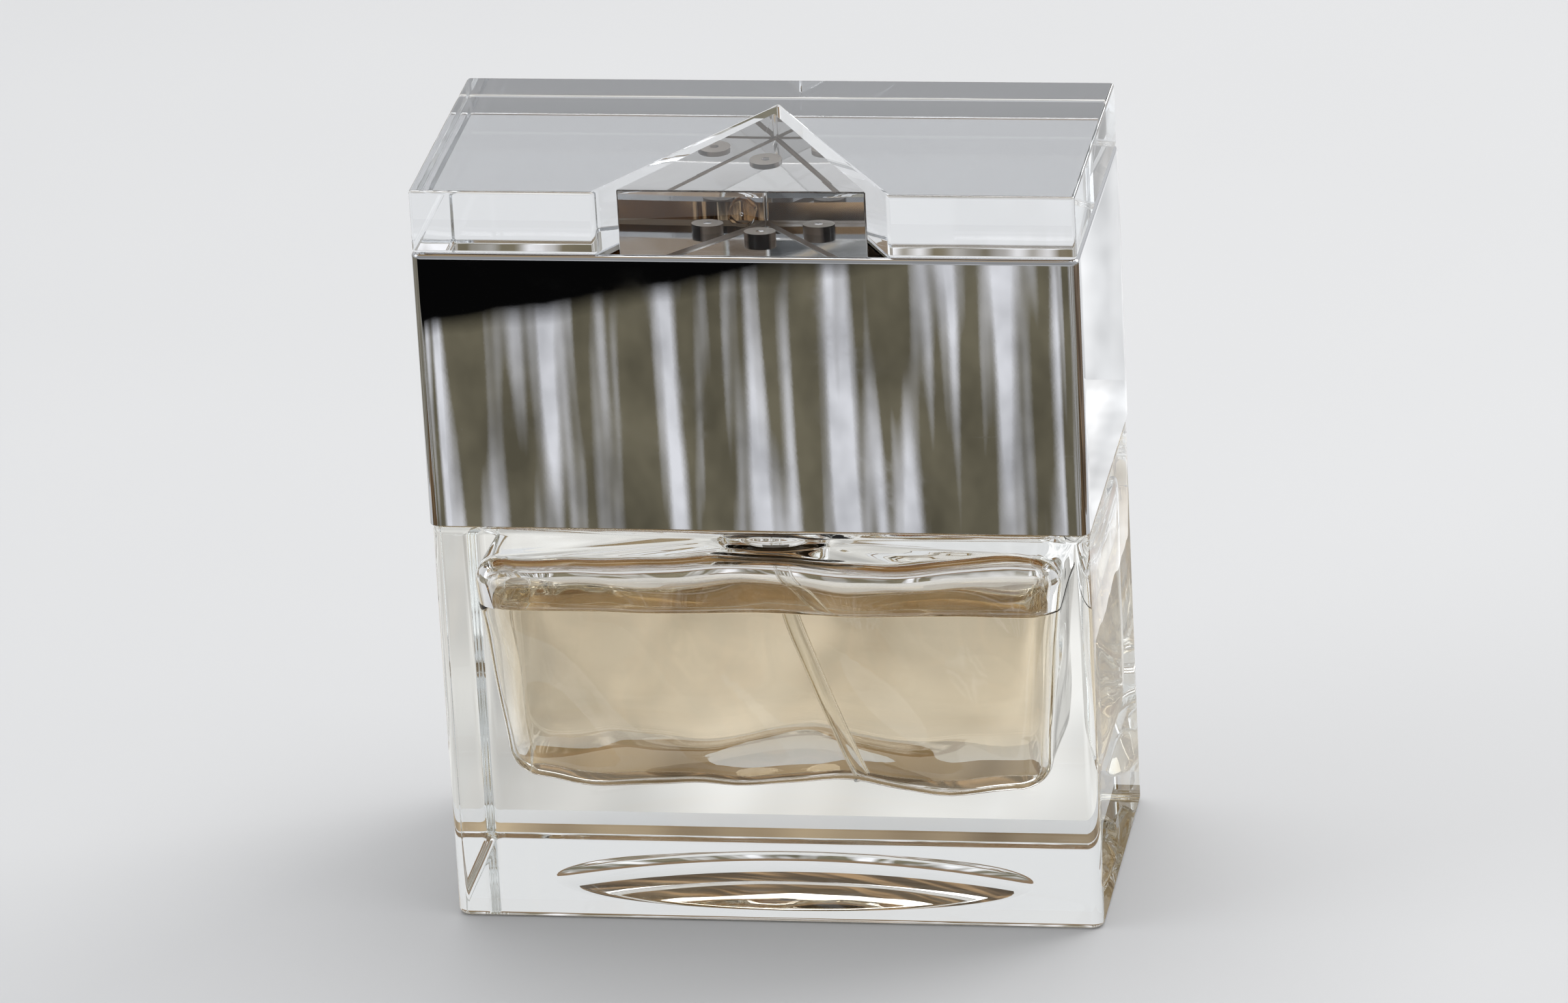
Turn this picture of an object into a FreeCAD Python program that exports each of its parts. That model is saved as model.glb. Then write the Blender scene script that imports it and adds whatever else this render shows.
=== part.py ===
import FreeCAD, Part
import math
import os

import Sketcher

# Perfume atomiser: a square glass bottle, a chrome dress cover over its crimp pump, and a clear
# block on top with a wedge notch that holds the triangular spray button.
# Millimetres. X is the width, the front faces -Y, Z is up. The origin is the middle of the
# bottle's underside, on the surface that the bottle stands on.

SIZES = {
    # glass bottle
    "bottle_width": 62.0,
    "bottle_depth": 30.0,
    "shoulder_height": 40.2,
    "bottle_corner": 1.2,
    "bottle_edge": 0.6,
    "floor_height": 12.4,
    "ceiling_height": 36.0,
    "side_wall_low": 4.95,
    "side_wall_high": 3.15,
    "front_wall_low": 4.4,
    "front_wall_high": 3.9,
    "cavity_corner": 3.0,
    "cavity_edge": 2.4,
    "floor_rise_height": 1.5,
    "floor_rise_length": 40.0,
    "floor_rise_width": 17.0,
    "punt_height": 2.0,
    "punt_length": 46.0,
    "punt_width": 21.0,
    # crimp neck, for a 15 mm ferrule
    "neck_diameter": 13.0,
    "neck_bore": 10.4,
    "bead_diameter": 14.9,
    "bead_height": 3.6,
    "bead_slope": 0.6,
    "neck_height": 11.3,
    "bead_round": 0.5,
    # fragrance
    "liquid_level": 30.3,
    "liquid_gap": 0.05,
    # dip tube
    "tube_diameter": 1.6,
    "tube_bore": 1.1,
    "tube_top": 39.5,
    "tube_bend_height": 29.0,
    "tube_bend_radius": 14.0,
    "tube_end_right": 8.0,
    "tube_end_forward": 8.6,
    "tube_end_height": 13.4,
    # crimp pump
    "gasket_thickness": 0.8,
    "gasket_diameter": 14.4,
    "flange_diameter": 14.4,
    "flange_thickness": 1.0,
    "housing_diameter": 7.4,
    "housing_bore": 6.0,
    "housing_floor": 9.1,
    "housing_gap": 0.1,
    "inlet_height": 3.2,
    "barrel_slope": 0.6,
    "spigot_diameter": 3.8,
    "spigot_length": 3.2,
    "ball_diameter": 2.0,
    "ball_chamber": 2.7,
    "ball_chamber_height": 1.8,
    "ball_throat": 1.6,
    "ball_throat_length": 0.4,
    "ball_rest_gap": 0.04,
    "inlet_bore": 1.1,
    "seal_thickness": 0.4,
    "seal_gap": 0.1,
    "turret_boss": 8.6,
    "turret_boss_height": 1.7,
    "ferrule_diameter": 15.8,
    "ferrule_wall": 0.4,
    "ferrule_lip": 6.9,
    "ferrule_hole_gap": 0.3,
    "crimp_height": 0.9,
    "crimp_slope": 0.8,
    "stem_diameter": 3.0,
    "stem_bore": 1.1,
    "stem_length": 10.3,
    "stem_flange": 4.8,
    "stem_flange_thickness": 0.6,
    "stem_socket_depth": 3.0,
    "socket_play": 0.1,
    "slide_gap": 0.05,
    "rod_shank": 1.6,
    "rod_head": 4.6,
    "rod_head_thickness": 0.4,
    "rod_pin": 2.4,
    "rod_pin_length": 1.7,
    "rod_slot": 0.4,
    "rod_slot_foot": 0.4,
    "piston_height": 2.2,
    "piston_stem_gap": 0.6,
    "piston_web": 0.8,
    "piston_hub": 2.6,
    "piston_hub_drop": 0.6,
    "piston_hole": 2.0,
    "piston_wall": 0.6,
    "return_wire": 0.4,
    "return_coil": 4.6,
    "return_turns": 5.5,
    "second_wire": 0.3,
    "second_coil": 3.9,
    "second_turns": 3.0,
    "press_travel": 3.0,
    # inner collar
    "collar_gap": 0.1,
    "collar_wall": 1.2,
    "collar_foot_gap": 0.3,
    "collar_deck": 1.4,
    "collar_deck_hole": 11.0,
    "sleeve_wall": 1.35,
    "sleeve_length": 6.8,
    "post_diameter": 4.4,
    # chrome cover
    "cover_width": 62.3,
    "cover_depth": 30.3,
    "cover_top": 67.8,
    "cover_foot_gap": 0.2,
    "cover_wall": 0.5,
    "cover_corner": 0.9,
    "cover_lip": 0.45,
    # clear block and its locating pegs
    "block_height": 6.2,
    "block_edge": 0.3,
    "peg_diameter": 2.2,
    "peg_length": 2.5,
    "peg_inset": 3.0,
    "peg_hole_gap": 0.05,
    # spray button
    "button_side": 23.4,
    "button_setback": 0.8,
    "button_gap": 1.33,
    "button_height": 8.3,
    "button_edge": 0.15,
    "core_diameter": 4.4,
    "core_peg": 3.0,
    "core_length": 7.0,
    "core_depth": 0.8,
    "core_flange": 5.8,
    "core_flange_thickness": 0.6,
    "spray_channel": 0.8,
    "nozzle_diameter": 2.6,
    "nozzle_length": 2.0,
    "nozzle_level": 71.7,
    "nozzle_swirl": 1.6,
    "nozzle_swirl_depth": 1.4,
    "nozzle_orifice": 0.3,
}
SQRT3 = math.sqrt(3)
OVERCUT = 1.0  # how far a cut, or the root of a joined piece, runs past its face
CAP_SHARE = 0.6  # how far up its own radius an ellipsoid cap is cut off
CORNER_REACH = 1.5  # how near a box's corner the middle of an upright edge lies
CLOSE = 0.2  # the same for the inside of a thin wall, whose outside corners are near too
LARGEST_PIPE_ERROR = 0.01  # as a share of the pipe's volume

doc = FreeCAD.newDocument("PerfumeAtomiser")
sheet = doc.addObject("Spreadsheet::Sheet", "Sizes")
sub_parts = []


class Size:
    """A length with the sheet expression that gives it."""

    def __init__(self, value, text):
        self.value = value
        self.text = text

    def __add__(self, other):
        other = as_size(other)
        return Size(self.value + other.value, f"({self.text} + {other.text})")

    def __radd__(self, other):
        return as_size(other) + self

    def __sub__(self, other):
        other = as_size(other)
        return Size(self.value - other.value, f"({self.text} - {other.text})")

    def __rsub__(self, other):
        return as_size(other) - self

    def __mul__(self, factor):
        factor = as_size(factor)
        return Size(self.value * factor.value, f"({self.text} * {factor.text})")

    def __truediv__(self, divisor):
        divisor = as_size(divisor)
        return Size(self.value / divisor.value, f"({self.text} / {divisor.text})")

    def __neg__(self):
        return Size(-self.value, f"(0 - {self.text})")


def as_size(value):
    return value if isinstance(value, Size) else Size(float(value), repr(float(value)))


def size(alias):
    """A driving size from the sheet."""
    return Size(SIZES[alias], f"Sizes.{alias}")


def bind(thing, path, length):
    thing.setExpression(path, as_size(length).text)


def fill_sheet():
    for row, (alias, value) in enumerate(SIZES.items(), start=1):
        sheet.set(f"A{row}", alias)
        sheet.set(f"B{row}", str(value))
        sheet.setAlias(f"B{row}", alias)
    doc.recompute()


# ---------------------------------------------------------------- shared modelling steps


def new_body(name, level=0.0):
    """A body whose own origin stands at a level above the bottle's underside."""
    body = doc.addObject("PartDesign::Body", name)
    body.Label = name
    bind(body, "Placement.Base.z", level)
    sub_parts.append(body)
    return body


def new_sketch(body, name, role, offset=0.0):
    """A sketch on one of the body's own origin planes, moved along the plane's normal."""
    sketch = body.newObject("Sketcher::SketchObject", name)
    plane = next(item for item in body.Origin.OriginFeatures if item.Role == role)
    sketch.AttachmentSupport = [(plane, "")]
    sketch.MapMode = "FlatFace"
    bind(sketch, "AttachmentOffset.Base.z", offset)
    return sketch


def hold_point(sketch, element, point, place):
    """Holds one point of a sketch element at a place measured from the sketch's origin."""
    for kind, coordinate, axis in (("DistanceX", place[0], -2), ("DistanceY", place[1], -1)):
        coordinate = as_size(coordinate)
        if abs(coordinate.value) < 1e-9:
            sketch.addConstraint(Sketcher.Constraint("PointOnObject", element, point, axis))
        elif coordinate.value > 0:
            held = Sketcher.Constraint(kind, -1, 1, element, point, coordinate.value)
            index = sketch.addConstraint(held)
            bind(sketch, f"Constraints[{index}]", coordinate)
        else:
            held = Sketcher.Constraint(kind, element, point, -1, 1, -coordinate.value)
            index = sketch.addConstraint(held)
            bind(sketch, f"Constraints[{index}]", -coordinate)


def vector(place):
    return FreeCAD.Vector(as_size(place[0]).value, as_size(place[1]).value, 0)


def draw_polygon(sketch, places):
    """A closed outline of straight lines, each corner held by sizes from the sheet."""
    lines = []
    for start, end in zip(places, places[1:] + places[:1]):
        lines.append(sketch.addGeometry(Part.LineSegment(vector(start), vector(end)), False))
    for line, following in zip(lines, lines[1:] + lines[:1]):
        sketch.addConstraint(Sketcher.Constraint("Coincident", line, 2, following, 1))
    for line, place in zip(lines, places):
        hold_point(sketch, line, 1, place)


def draw_circle(sketch, centre, diameter):
    diameter = as_size(diameter)
    circle = Part.Circle(vector(centre), FreeCAD.Vector(0, 0, 1), diameter.value / 2)
    element = sketch.addGeometry(circle, False)
    hold_point(sketch, element, 3, centre)
    index = sketch.addConstraint(Sketcher.Constraint("Diameter", element, diameter.value))
    bind(sketch, f"Constraints[{index}]", diameter)


def rectangle(width, depth):
    return [
        (-width / 2, -depth / 2),
        (width / 2, -depth / 2),
        (width / 2, depth / 2),
        (-width / 2, depth / 2),
    ]


def pad(body, sketch, length, downward=False):
    feature = body.newObject("PartDesign::Pad", sketch.Name + "Pad")
    feature.Profile = sketch
    bind(feature, "Length", length)
    feature.Reversed = downward
    doc.recompute()
    return feature


def pocket(body, sketch, length, upward):
    """Cuts a pocket, and fails unless it takes material away."""
    before = body.Shape.Volume
    feature = body.newObject("PartDesign::Pocket", sketch.Name + "Pocket")
    feature.Profile = sketch
    bind(feature, "Length", length)
    feature.Reversed = upward
    doc.recompute()
    if not body.Shape.Volume < before:
        raise ValueError(f"{feature.Name} cuts nothing")
    return feature


def revolve(body, sketch):
    feature = body.newObject("PartDesign::Revolution", sketch.Name + "Turn")
    feature.Profile = sketch
    feature.ReferenceAxis = (sketch, ["V_Axis"])
    feature.Angle = 360
    doc.recompute()
    return feature


def groove(body, sketch):
    """Turns a cut about the upright axis, and fails unless it takes material away."""
    before = body.Shape.Volume
    feature = body.newObject("PartDesign::Groove", sketch.Name + "Groove")
    feature.Profile = sketch
    feature.ReferenceAxis = (sketch, ["V_Axis"])
    feature.Angle = 360
    doc.recompute()
    if not body.Shape.Volume < before:
        raise ValueError(f"{feature.Name} cuts nothing")
    return feature


def turned_body(name, level, places):
    """A body turned about Z from a closed outline of (radius, height) corners."""
    body = new_body(name, level)
    sketch = new_sketch(body, name + "_outline", "XZ_Plane")
    draw_polygon(sketch, places)
    revolve(body, sketch)
    return body


def edge_names(feature, wanted):
    """The names of a feature's edges that a test on the edge accepts."""
    return [f"Edge{i}" for i, edge in enumerate(feature.Shape.Edges, start=1) if wanted(edge)]


def dress_edges(body, kind, feature, wanted, amount):
    """Rounds (Fillet) or bevels (Chamfer) the chosen edges of a feature."""
    dressed = body.newObject("PartDesign::" + kind, f"{feature.Name}{kind}")
    dressed.Base = (feature, edge_names(feature, wanted))
    bind(dressed, "Radius" if kind == "Fillet" else "Size", amount)
    doc.recompute()
    return dressed


def is_upright(edge, half_x, half_y, tolerance=CORNER_REACH):
    """True for an edge that climbs along a corner of a box of the given half sizes."""
    low, high = edge.BoundBox.ZMin, edge.BoundBox.ZMax
    middle = edge.BoundBox.Center
    near_corner = abs(abs(middle.x) - half_x) < tolerance and abs(abs(middle.y) - half_y) < tolerance
    return near_corner and high - low > tolerance


def is_level_at(edge, height):
    """True for an edge that lies flat at one height."""
    box = edge.BoundBox
    return abs(box.ZMin - height) < 1e-4 and abs(box.ZMax - height) < 1e-4


def add_cap(body, name, kind, alias, level):
    """A shallow ellipsoid cap that stands on a level; its three sizes share an alias."""
    height = size(alias + "_height")
    radius = height / (1 - CAP_SHARE)
    across = math.sqrt(1 - CAP_SHARE**2)
    feature = body.newObject("PartDesign::" + kind, name)
    bind(feature, "Radius1", radius)
    bind(feature, "Radius2", size(alias + "_length") / 2 / across)
    bind(feature, "Radius3", size(alias + "_width") / 2 / across)
    bind(feature, "Placement.Base.z", level - radius * CAP_SHARE)
    doc.recompute()
    return feature


def coil_spring(name, level, coil, wire, turns, length):
    """An open coil of round wire; length is the whole height over both ends."""
    body = new_body(name, level)
    section = new_sketch(body, name + "_wire", "XZ_Plane")
    draw_circle(section, ((coil - wire) / 2, wire / 2), wire)
    helix = body.newObject("PartDesign::AdditiveHelix", name + "_helix")
    helix.Profile = section
    helix.ReferenceAxis = (section, ["V_Axis"])
    helix.Mode = "height-turns-angle"
    bind(helix, "Height", length - wire)
    bind(helix, "Turns", turns)
    doc.recompute()
    return body


# ---------------------------------------------------------------- levels shared by several parts

shoulder = size("shoulder_height")
neck_top = shoulder + size("neck_height")
housing_seat = neck_top + size("gasket_thickness")
housing_top = housing_seat + size("flange_thickness")
housing_floor = housing_seat - size("housing_floor")
turret_top = housing_top + size("flange_thickness")
ferrule_top = turret_top + size("ferrule_wall")
stem_foot = housing_top - size("seal_thickness") - size("seal_gap") - size("stem_flange_thickness")
stem_top = stem_foot + size("stem_length")
piston_top = stem_foot - size("piston_stem_gap")
piston_foot = piston_top - size("piston_height")
rod_seat = piston_foot - size("slide_gap")
cover_top = size("cover_top")
block_top = cover_top + size("block_height")
button_foot = block_top - size("button_height")
core_foot = button_foot + size("core_depth") - size("core_length")
front_plane = -size("bottle_depth") / 2
button_front = front_plane + size("button_setback")
button_apex = button_front + size("button_side") * (SQRT3 / 2)
# the notch keeps one even gap to the button, and its sides meet at 60 degrees
notch_apex = button_apex + size("button_gap") * 2


def wedge(apex, front):
    """The plan of a 60 degree wedge that points to the back."""
    half = (apex - front) / SQRT3
    return [(-half, front), (half, front), (as_size(0), apex)]


def draw_at_pegs(sketch, diameter):
    """One circle at each of the four locating pegs."""
    out = size("bottle_width") / 2 - size("peg_inset")
    back = size("bottle_depth") / 2 - size("peg_inset")
    for x in (-out, out):
        for y in (-back, back):
            draw_circle(sketch, (x, y), diameter)


# ---------------------------------------------------------------- bottle and what it holds


def cavity_sizes(height):
    """Width and depth of the bottle's inside at a height."""
    share = (height - size("floor_height")) / (size("ceiling_height") - size("floor_height"))
    side = size("side_wall_low") + (size("side_wall_high") - size("side_wall_low")) * share
    front = size("front_wall_low") + (size("front_wall_high") - size("front_wall_low")) * share
    return size("bottle_width") - side * 2, size("bottle_depth") - front * 2


def cut_cavity(body):
    """Takes the tapered inside away from the bottle."""
    sections = []
    for alias in ("floor_height", "ceiling_height"):
        sketch = new_sketch(body, alias + "_plan", "XY_Plane", size(alias))
        draw_polygon(sketch, rectangle(*cavity_sizes(size(alias))))
        sections.append(sketch)
    loft = body.newObject("PartDesign::SubtractiveLoft", "cavity")
    loft.Profile = sections[0]
    loft.Sections = [sections[1]]
    loft.Ruled = True
    doc.recompute()
    return loft


def glass_bottle():
    """Heavy glass with a thick base, a shallow hollow under it and a crimp neck."""
    body = new_body("glass_bottle")
    plan = new_sketch(body, "bottle_plan", "XY_Plane")
    draw_polygon(plan, rectangle(size("bottle_width"), size("bottle_depth")))
    block = pad(body, plan, shoulder)
    half_x, half_y = SIZES["bottle_width"] / 2, SIZES["bottle_depth"] / 2
    corners = dress_edges(
        body, "Fillet", block, lambda e: is_upright(e, half_x, half_y), size("bottle_corner")
    )
    edges = dress_edges(
        body,
        "Fillet",
        corners,
        lambda e: is_level_at(e, 0) or is_level_at(e, SIZES["shoulder_height"]),
        size("bottle_edge"),
    )
    neck = new_sketch(body, "neck_outline", "XZ_Plane")
    neck_radius, bead_radius = size("neck_diameter") / 2, size("bead_diameter") / 2
    bead_foot = neck_top - size("bead_height")
    root = shoulder - OVERCUT
    draw_polygon(
        neck,
        [
            (as_size(0), root),
            (neck_radius, root),
            (neck_radius, bead_foot - size("bead_slope")),
            (bead_radius, bead_foot),
            (bead_radius, neck_top),
            (as_size(0), neck_top),
        ],
    )
    turned = revolve(body, neck)
    top = neck_top.value
    rounded = dress_edges(
        body,
        "Fillet",
        turned,
        lambda e: is_level_at(e, top) or is_level_at(e, top - SIZES["bead_height"]),
        size("bead_round"),
    )
    if rounded.Shape.Volume > turned.Shape.Volume:
        raise ValueError("the bead's edges were not rounded")
    hollow = cut_cavity(body)
    inner_x, inner_y = half_x - SIZES["side_wall_low"], half_y - SIZES["front_wall_low"]
    hollow = dress_edges(
        body, "Fillet", hollow, lambda e: is_upright(e, inner_x, inner_y), size("cavity_corner")
    )
    dress_edges(
        body,
        "Fillet",
        hollow,
        lambda e: is_level_at(e, SIZES["floor_height"]) or is_level_at(e, SIZES["ceiling_height"]),
        size("cavity_edge"),
    )
    add_cap(body, "inner_rise", "AdditiveEllipsoid", "floor_rise", size("floor_height"))
    add_cap(body, "hollow_under", "SubtractiveEllipsoid", "punt", 0)
    bore = new_sketch(body, "neck_bore_outline", "XZ_Plane")
    bore_radius = size("neck_bore") / 2
    bore_foot = size("ceiling_height") - OVERCUT
    draw_polygon(
        bore,
        [
            (as_size(0), bore_foot),
            (bore_radius, bore_foot),
            (bore_radius, neck_top + OVERCUT),
            (as_size(0), neck_top + OVERCUT),
        ],
    )
    groove(body, bore)
    return body



def tube_route():
    """The dip tube's straight top, its bend and its sloping lower run, as lengths and an angle."""
    reach = math.hypot(SIZES["tube_end_right"], SIZES["tube_end_forward"])
    drop = SIZES["tube_bend_height"] - SIZES["tube_end_height"]
    lean = math.atan2(reach, drop)
    tangent = SIZES["tube_bend_radius"] * math.tan(lean / 2)
    return reach, lean, tangent


def tube_body(name, diameters):
    """A pipe along the dip tube's route, its section made of one or more circles."""
    reach, lean, tangent = tube_route()
    radius = SIZES["tube_bend_radius"]
    top, bend, end = SIZES["tube_top"], SIZES["tube_bend_height"], SIZES["tube_end_height"]
    heading = math.degrees(math.atan2(-SIZES["tube_end_forward"], SIZES["tube_end_right"]))
    body = new_body(name)
    section = new_sketch(body, name + "_section", "XY_Plane", size("tube_top"))
    for diameter in diameters:
        draw_circle(section, (0, 0), diameter)
    route = new_sketch(body, name + "_route", "XZ_Plane")
    bend_start = FreeCAD.Vector(0, bend + tangent, 0)
    bend_middle = FreeCAD.Vector(radius * (1 - math.cos(lean / 2)), 0, 0)
    bend_middle.y = bend_start.y - radius * math.sin(lean / 2)
    bend_end = FreeCAD.Vector(radius * (1 - math.cos(lean)), 0, 0)
    bend_end.y = bend_start.y - radius * math.sin(lean)
    route.addGeometry(Part.LineSegment(FreeCAD.Vector(0, top, 0), bend_start), False)
    route.addGeometry(Part.Arc(bend_start, bend_middle, bend_end), False)
    route.addGeometry(Part.LineSegment(bend_end, FreeCAD.Vector(reach, end, 0)), False)
    for element in range(3):
        route.addConstraint(Sketcher.Constraint("Block", element))
    pipe = body.newObject("PartDesign::AdditivePipe", name + "_pipe")
    pipe.Profile = section
    pipe.Spine = (route, ["Edge1", "Edge2", "Edge3"])
    body.Placement.Rotation = FreeCAD.Rotation(FreeCAD.Vector(0, 0, 1), heading)
    doc.recompute()
    areas = [math.pi * diameter.value**2 / 4 for diameter in diameters]
    area = areas[0] - sum(areas[1:])
    expected = area * sum(edge.Length for edge in route.Shape.Edges)
    if abs(body.Shape.Volume / expected - 1) > LARGEST_PIPE_ERROR:
        raise ValueError(f"{name} has volume {body.Shape.Volume:.2f}, not {expected:.2f}")
    print(f"{name} bend radius {radius} mm, lean {math.degrees(lean):.1f} degrees")
    return body


def dip_tube():
    """A thin clear tube from the pump's spigot to the front right corner of the base."""
    return tube_body("dip_tube", [size("tube_diameter"), size("tube_bore")])


def fragrance_liquid(bottle):
    """The fragrance: what the bottle's inside holds up to the liquid level, round the dip tube."""
    filled = doc.addObject("Part::Box", "liquid_bounds")
    side_wall = size("side_wall_high") - size("liquid_gap")
    front_wall = size("front_wall_high") - size("liquid_gap")
    foot = size("floor_height") - size("liquid_gap")
    bind(filled, "Length", size("bottle_width") - side_wall * 2)
    bind(filled, "Width", size("bottle_depth") - front_wall * 2)
    bind(filled, "Height", size("liquid_level") - foot)
    bind(filled, "Placement.Base.x", side_wall - size("bottle_width") / 2)
    bind(filled, "Placement.Base.y", front_wall - size("bottle_depth") / 2)
    bind(filled, "Placement.Base.z", foot)
    inside = doc.addObject("Part::Cut", "liquid_inside")
    inside.Base = filled
    inside.Tool = bottle
    displaced = tube_body("tube_space", [size("tube_diameter") + size("liquid_gap") * 2])
    sub_parts.remove(displaced)
    liquid = doc.addObject("Part::Cut", "fragrance_liquid")
    liquid.Label = "fragrance_liquid"
    liquid.Base = inside
    liquid.Tool = displaced
    sub_parts.append(liquid)
    doc.recompute()
    return liquid


# ---------------------------------------------------------------- crimp pump


def neck_gasket():
    inner = size("housing_diameter") / 2 + size("housing_gap")
    outer = size("gasket_diameter") / 2
    thick = size("gasket_thickness")
    return turned_body(
        "neck_gasket", neck_top, [(inner, 0), (outer, 0), (outer, thick), (inner, thick)]
    )


def pump_housing():
    """The pump's barrel: flange on the gasket, bore, ball chamber and spigot for the dip tube."""
    bore_floor = -size("housing_floor")
    spigot_foot = bore_floor - size("inlet_height") - size("spigot_length")
    chamber_top = bore_floor - size("ball_throat_length")
    chamber_foot = chamber_top - size("ball_chamber_height")
    seat_drop = (size("ball_chamber") - size("inlet_bore")) / 2
    spigot = size("spigot_diameter") / 2
    barrel = size("housing_diameter") / 2
    flange = size("flange_diameter") / 2
    tube = size("tube_diameter") / 2
    inlet = size("inlet_bore") / 2
    tube_stop = size("tube_top") - housing_seat + size("socket_play")
    return turned_body(
        "pump_housing",
        housing_seat,
        [
            (tube, spigot_foot),
            (spigot, spigot_foot),
            (spigot, spigot_foot + size("spigot_length")),
            (barrel, chamber_foot + size("barrel_slope")),
            (barrel, 0),
            (flange, 0),
            (flange, size("flange_thickness")),
            (size("housing_bore") / 2, size("flange_thickness")),
            (size("housing_bore") / 2, bore_floor),
            (size("ball_throat") / 2, bore_floor),
            (size("ball_throat") / 2, chamber_top),
            (size("ball_chamber") / 2, chamber_top),
            (size("ball_chamber") / 2, chamber_foot),
            (inlet, chamber_foot - seat_drop),
            (inlet, tube_stop),
            (tube, tube_stop),
        ],
    )


def inlet_ball():
    """Steel ball that closes the pump's inlet; it rests on a 45 degree seat."""
    chamber_foot = housing_floor - size("ball_throat_length") - size("ball_chamber_height")
    radius = size("ball_diameter") / 2
    centre = chamber_foot - size("ball_chamber") / 2 + radius * math.sqrt(2) + size("ball_rest_gap")
    ball = doc.addObject("Part::Sphere", "inlet_ball")
    ball.Label = "inlet_ball"
    bind(ball, "Radius", radius)
    bind(ball, "Placement.Base.z", centre)
    sub_parts.append(ball)
    return ball


def return_spring():
    gap = size("slide_gap")
    length = rod_seat - size("rod_head_thickness") - housing_floor - gap * 2
    return coil_spring(
        "return_spring",
        housing_floor + gap,
        size("return_coil"),
        size("return_wire"),
        size("return_turns"),
        length,
    )


def precompression_spring():
    gap = size("slide_gap")
    foot = piston_foot + size("piston_web") + gap
    return coil_spring(
        "precompression_spring",
        foot,
        size("second_coil"),
        size("second_wire"),
        size("second_turns"),
        stem_foot - foot - gap,
    )


def valve_rod():
    """The rod under the stem: a pin inside the spring, a valve head and a slotted shank."""
    pin = size("rod_pin") / 2
    head = size("rod_head") / 2
    shank = size("rod_shank") / 2
    pin_length = size("rod_pin_length")
    seat = pin_length + size("rod_head_thickness")
    foot = rod_seat - seat
    top = stem_foot + size("stem_socket_depth") - foot
    body = turned_body(
        "valve_rod",
        foot,
        [
            (as_size(0), 0),
            (pin, 0),
            (pin, pin_length),
            (head, pin_length),
            (head, seat),
            (shank, seat),
            (shank, top),
            (as_size(0), top),
        ],
    )
    slot = new_sketch(body, "rod_slot_plan", "XY_Plane", seat + size("rod_slot_foot"))
    half = size("rod_slot") / 2
    depth = shank - size("rod_slot")
    outer = shank + OVERCUT
    draw_polygon(slot, [(-half, depth), (half, depth), (half, outer), (-half, outer)])
    pocket(body, slot, top - seat, upward=True)
    return body


def piston():
    """A cup piston that slides a little on the rod, so that the pump opens under pressure."""
    outer = size("housing_bore") / 2 - size("slide_gap")
    inner = outer - size("piston_wall")
    hub = size("piston_hub") / 2
    hole = size("piston_hole") / 2
    web = size("piston_web")
    tall = size("piston_height")
    hub_top = tall - size("piston_hub_drop")
    return turned_body(
        "piston",
        piston_foot,
        [
            (hole, 0),
            (outer, 0),
            (outer, tall),
            (inner, tall),
            (inner, web),
            (hub, web),
            (hub, hub_top),
            (hole, hub_top),
        ],
    )


def pump_stem():
    """The hollow stem that carries the button; its socket takes the valve rod."""
    flange = size("stem_flange") / 2
    thick = size("stem_flange_thickness")
    outer = size("stem_diameter") / 2
    bore = size("stem_bore") / 2
    socket = size("rod_shank") / 2
    depth = size("stem_socket_depth") + size("socket_play")
    return turned_body(
        "pump_stem",
        stem_foot,
        [
            (socket, 0),
            (flange, 0),
            (flange, thick),
            (outer, thick),
            (outer, size("stem_length")),
            (bore, size("stem_length")),
            (bore, depth),
            (socket, depth),
        ],
    )


def stem_seal():
    inner = size("stem_diameter") / 2 + size("slide_gap")
    outer = size("housing_bore") / 2
    thick = size("seal_thickness")
    return turned_body(
        "stem_seal", housing_top - thick, [(inner, 0), (outer, 0), (outer, thick), (inner, thick)]
    )


def turret():
    """The gland that guides the stem and closes the housing."""
    inner = size("stem_diameter") / 2 + size("slide_gap")
    flange = size("flange_diameter") / 2
    boss = size("turret_boss") / 2
    step = size("flange_thickness")
    top = step + size("turret_boss_height")
    return turned_body(
        "turret",
        housing_top,
        [(inner, 0), (flange, 0), (flange, step), (boss, step), (boss, top), (inner, top)],
    )


def crimp_ferrule():
    """The aluminium ferrule, crimped in under the neck's bead."""
    outer = size("ferrule_diameter") / 2
    wall = size("ferrule_wall")
    hole = size("turret_boss") / 2 + size("ferrule_hole_gap")
    lip = size("ferrule_lip")
    foot = neck_top - size("bead_height") - size("crimp_height")
    top = ferrule_top - foot
    return turned_body(
        "crimp_ferrule",
        foot,
        [
            (lip, 0),
            (outer, 0),
            (outer, top),
            (hole, top),
            (hole, top - wall),
            (outer - wall, top - wall),
            (outer - wall, size("crimp_slope")),
            (lip, wall),
        ],
    )


# ---------------------------------------------------------------- dress cover


def cut_wedge(body, name, front, foot, height):
    """Cuts the button's wedge, with its gap, upward from a height."""
    plan = new_sketch(body, name, "XY_Plane", foot)
    draw_polygon(plan, wedge(notch_apex, front))
    return pocket(body, plan, height, upward=True)


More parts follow.
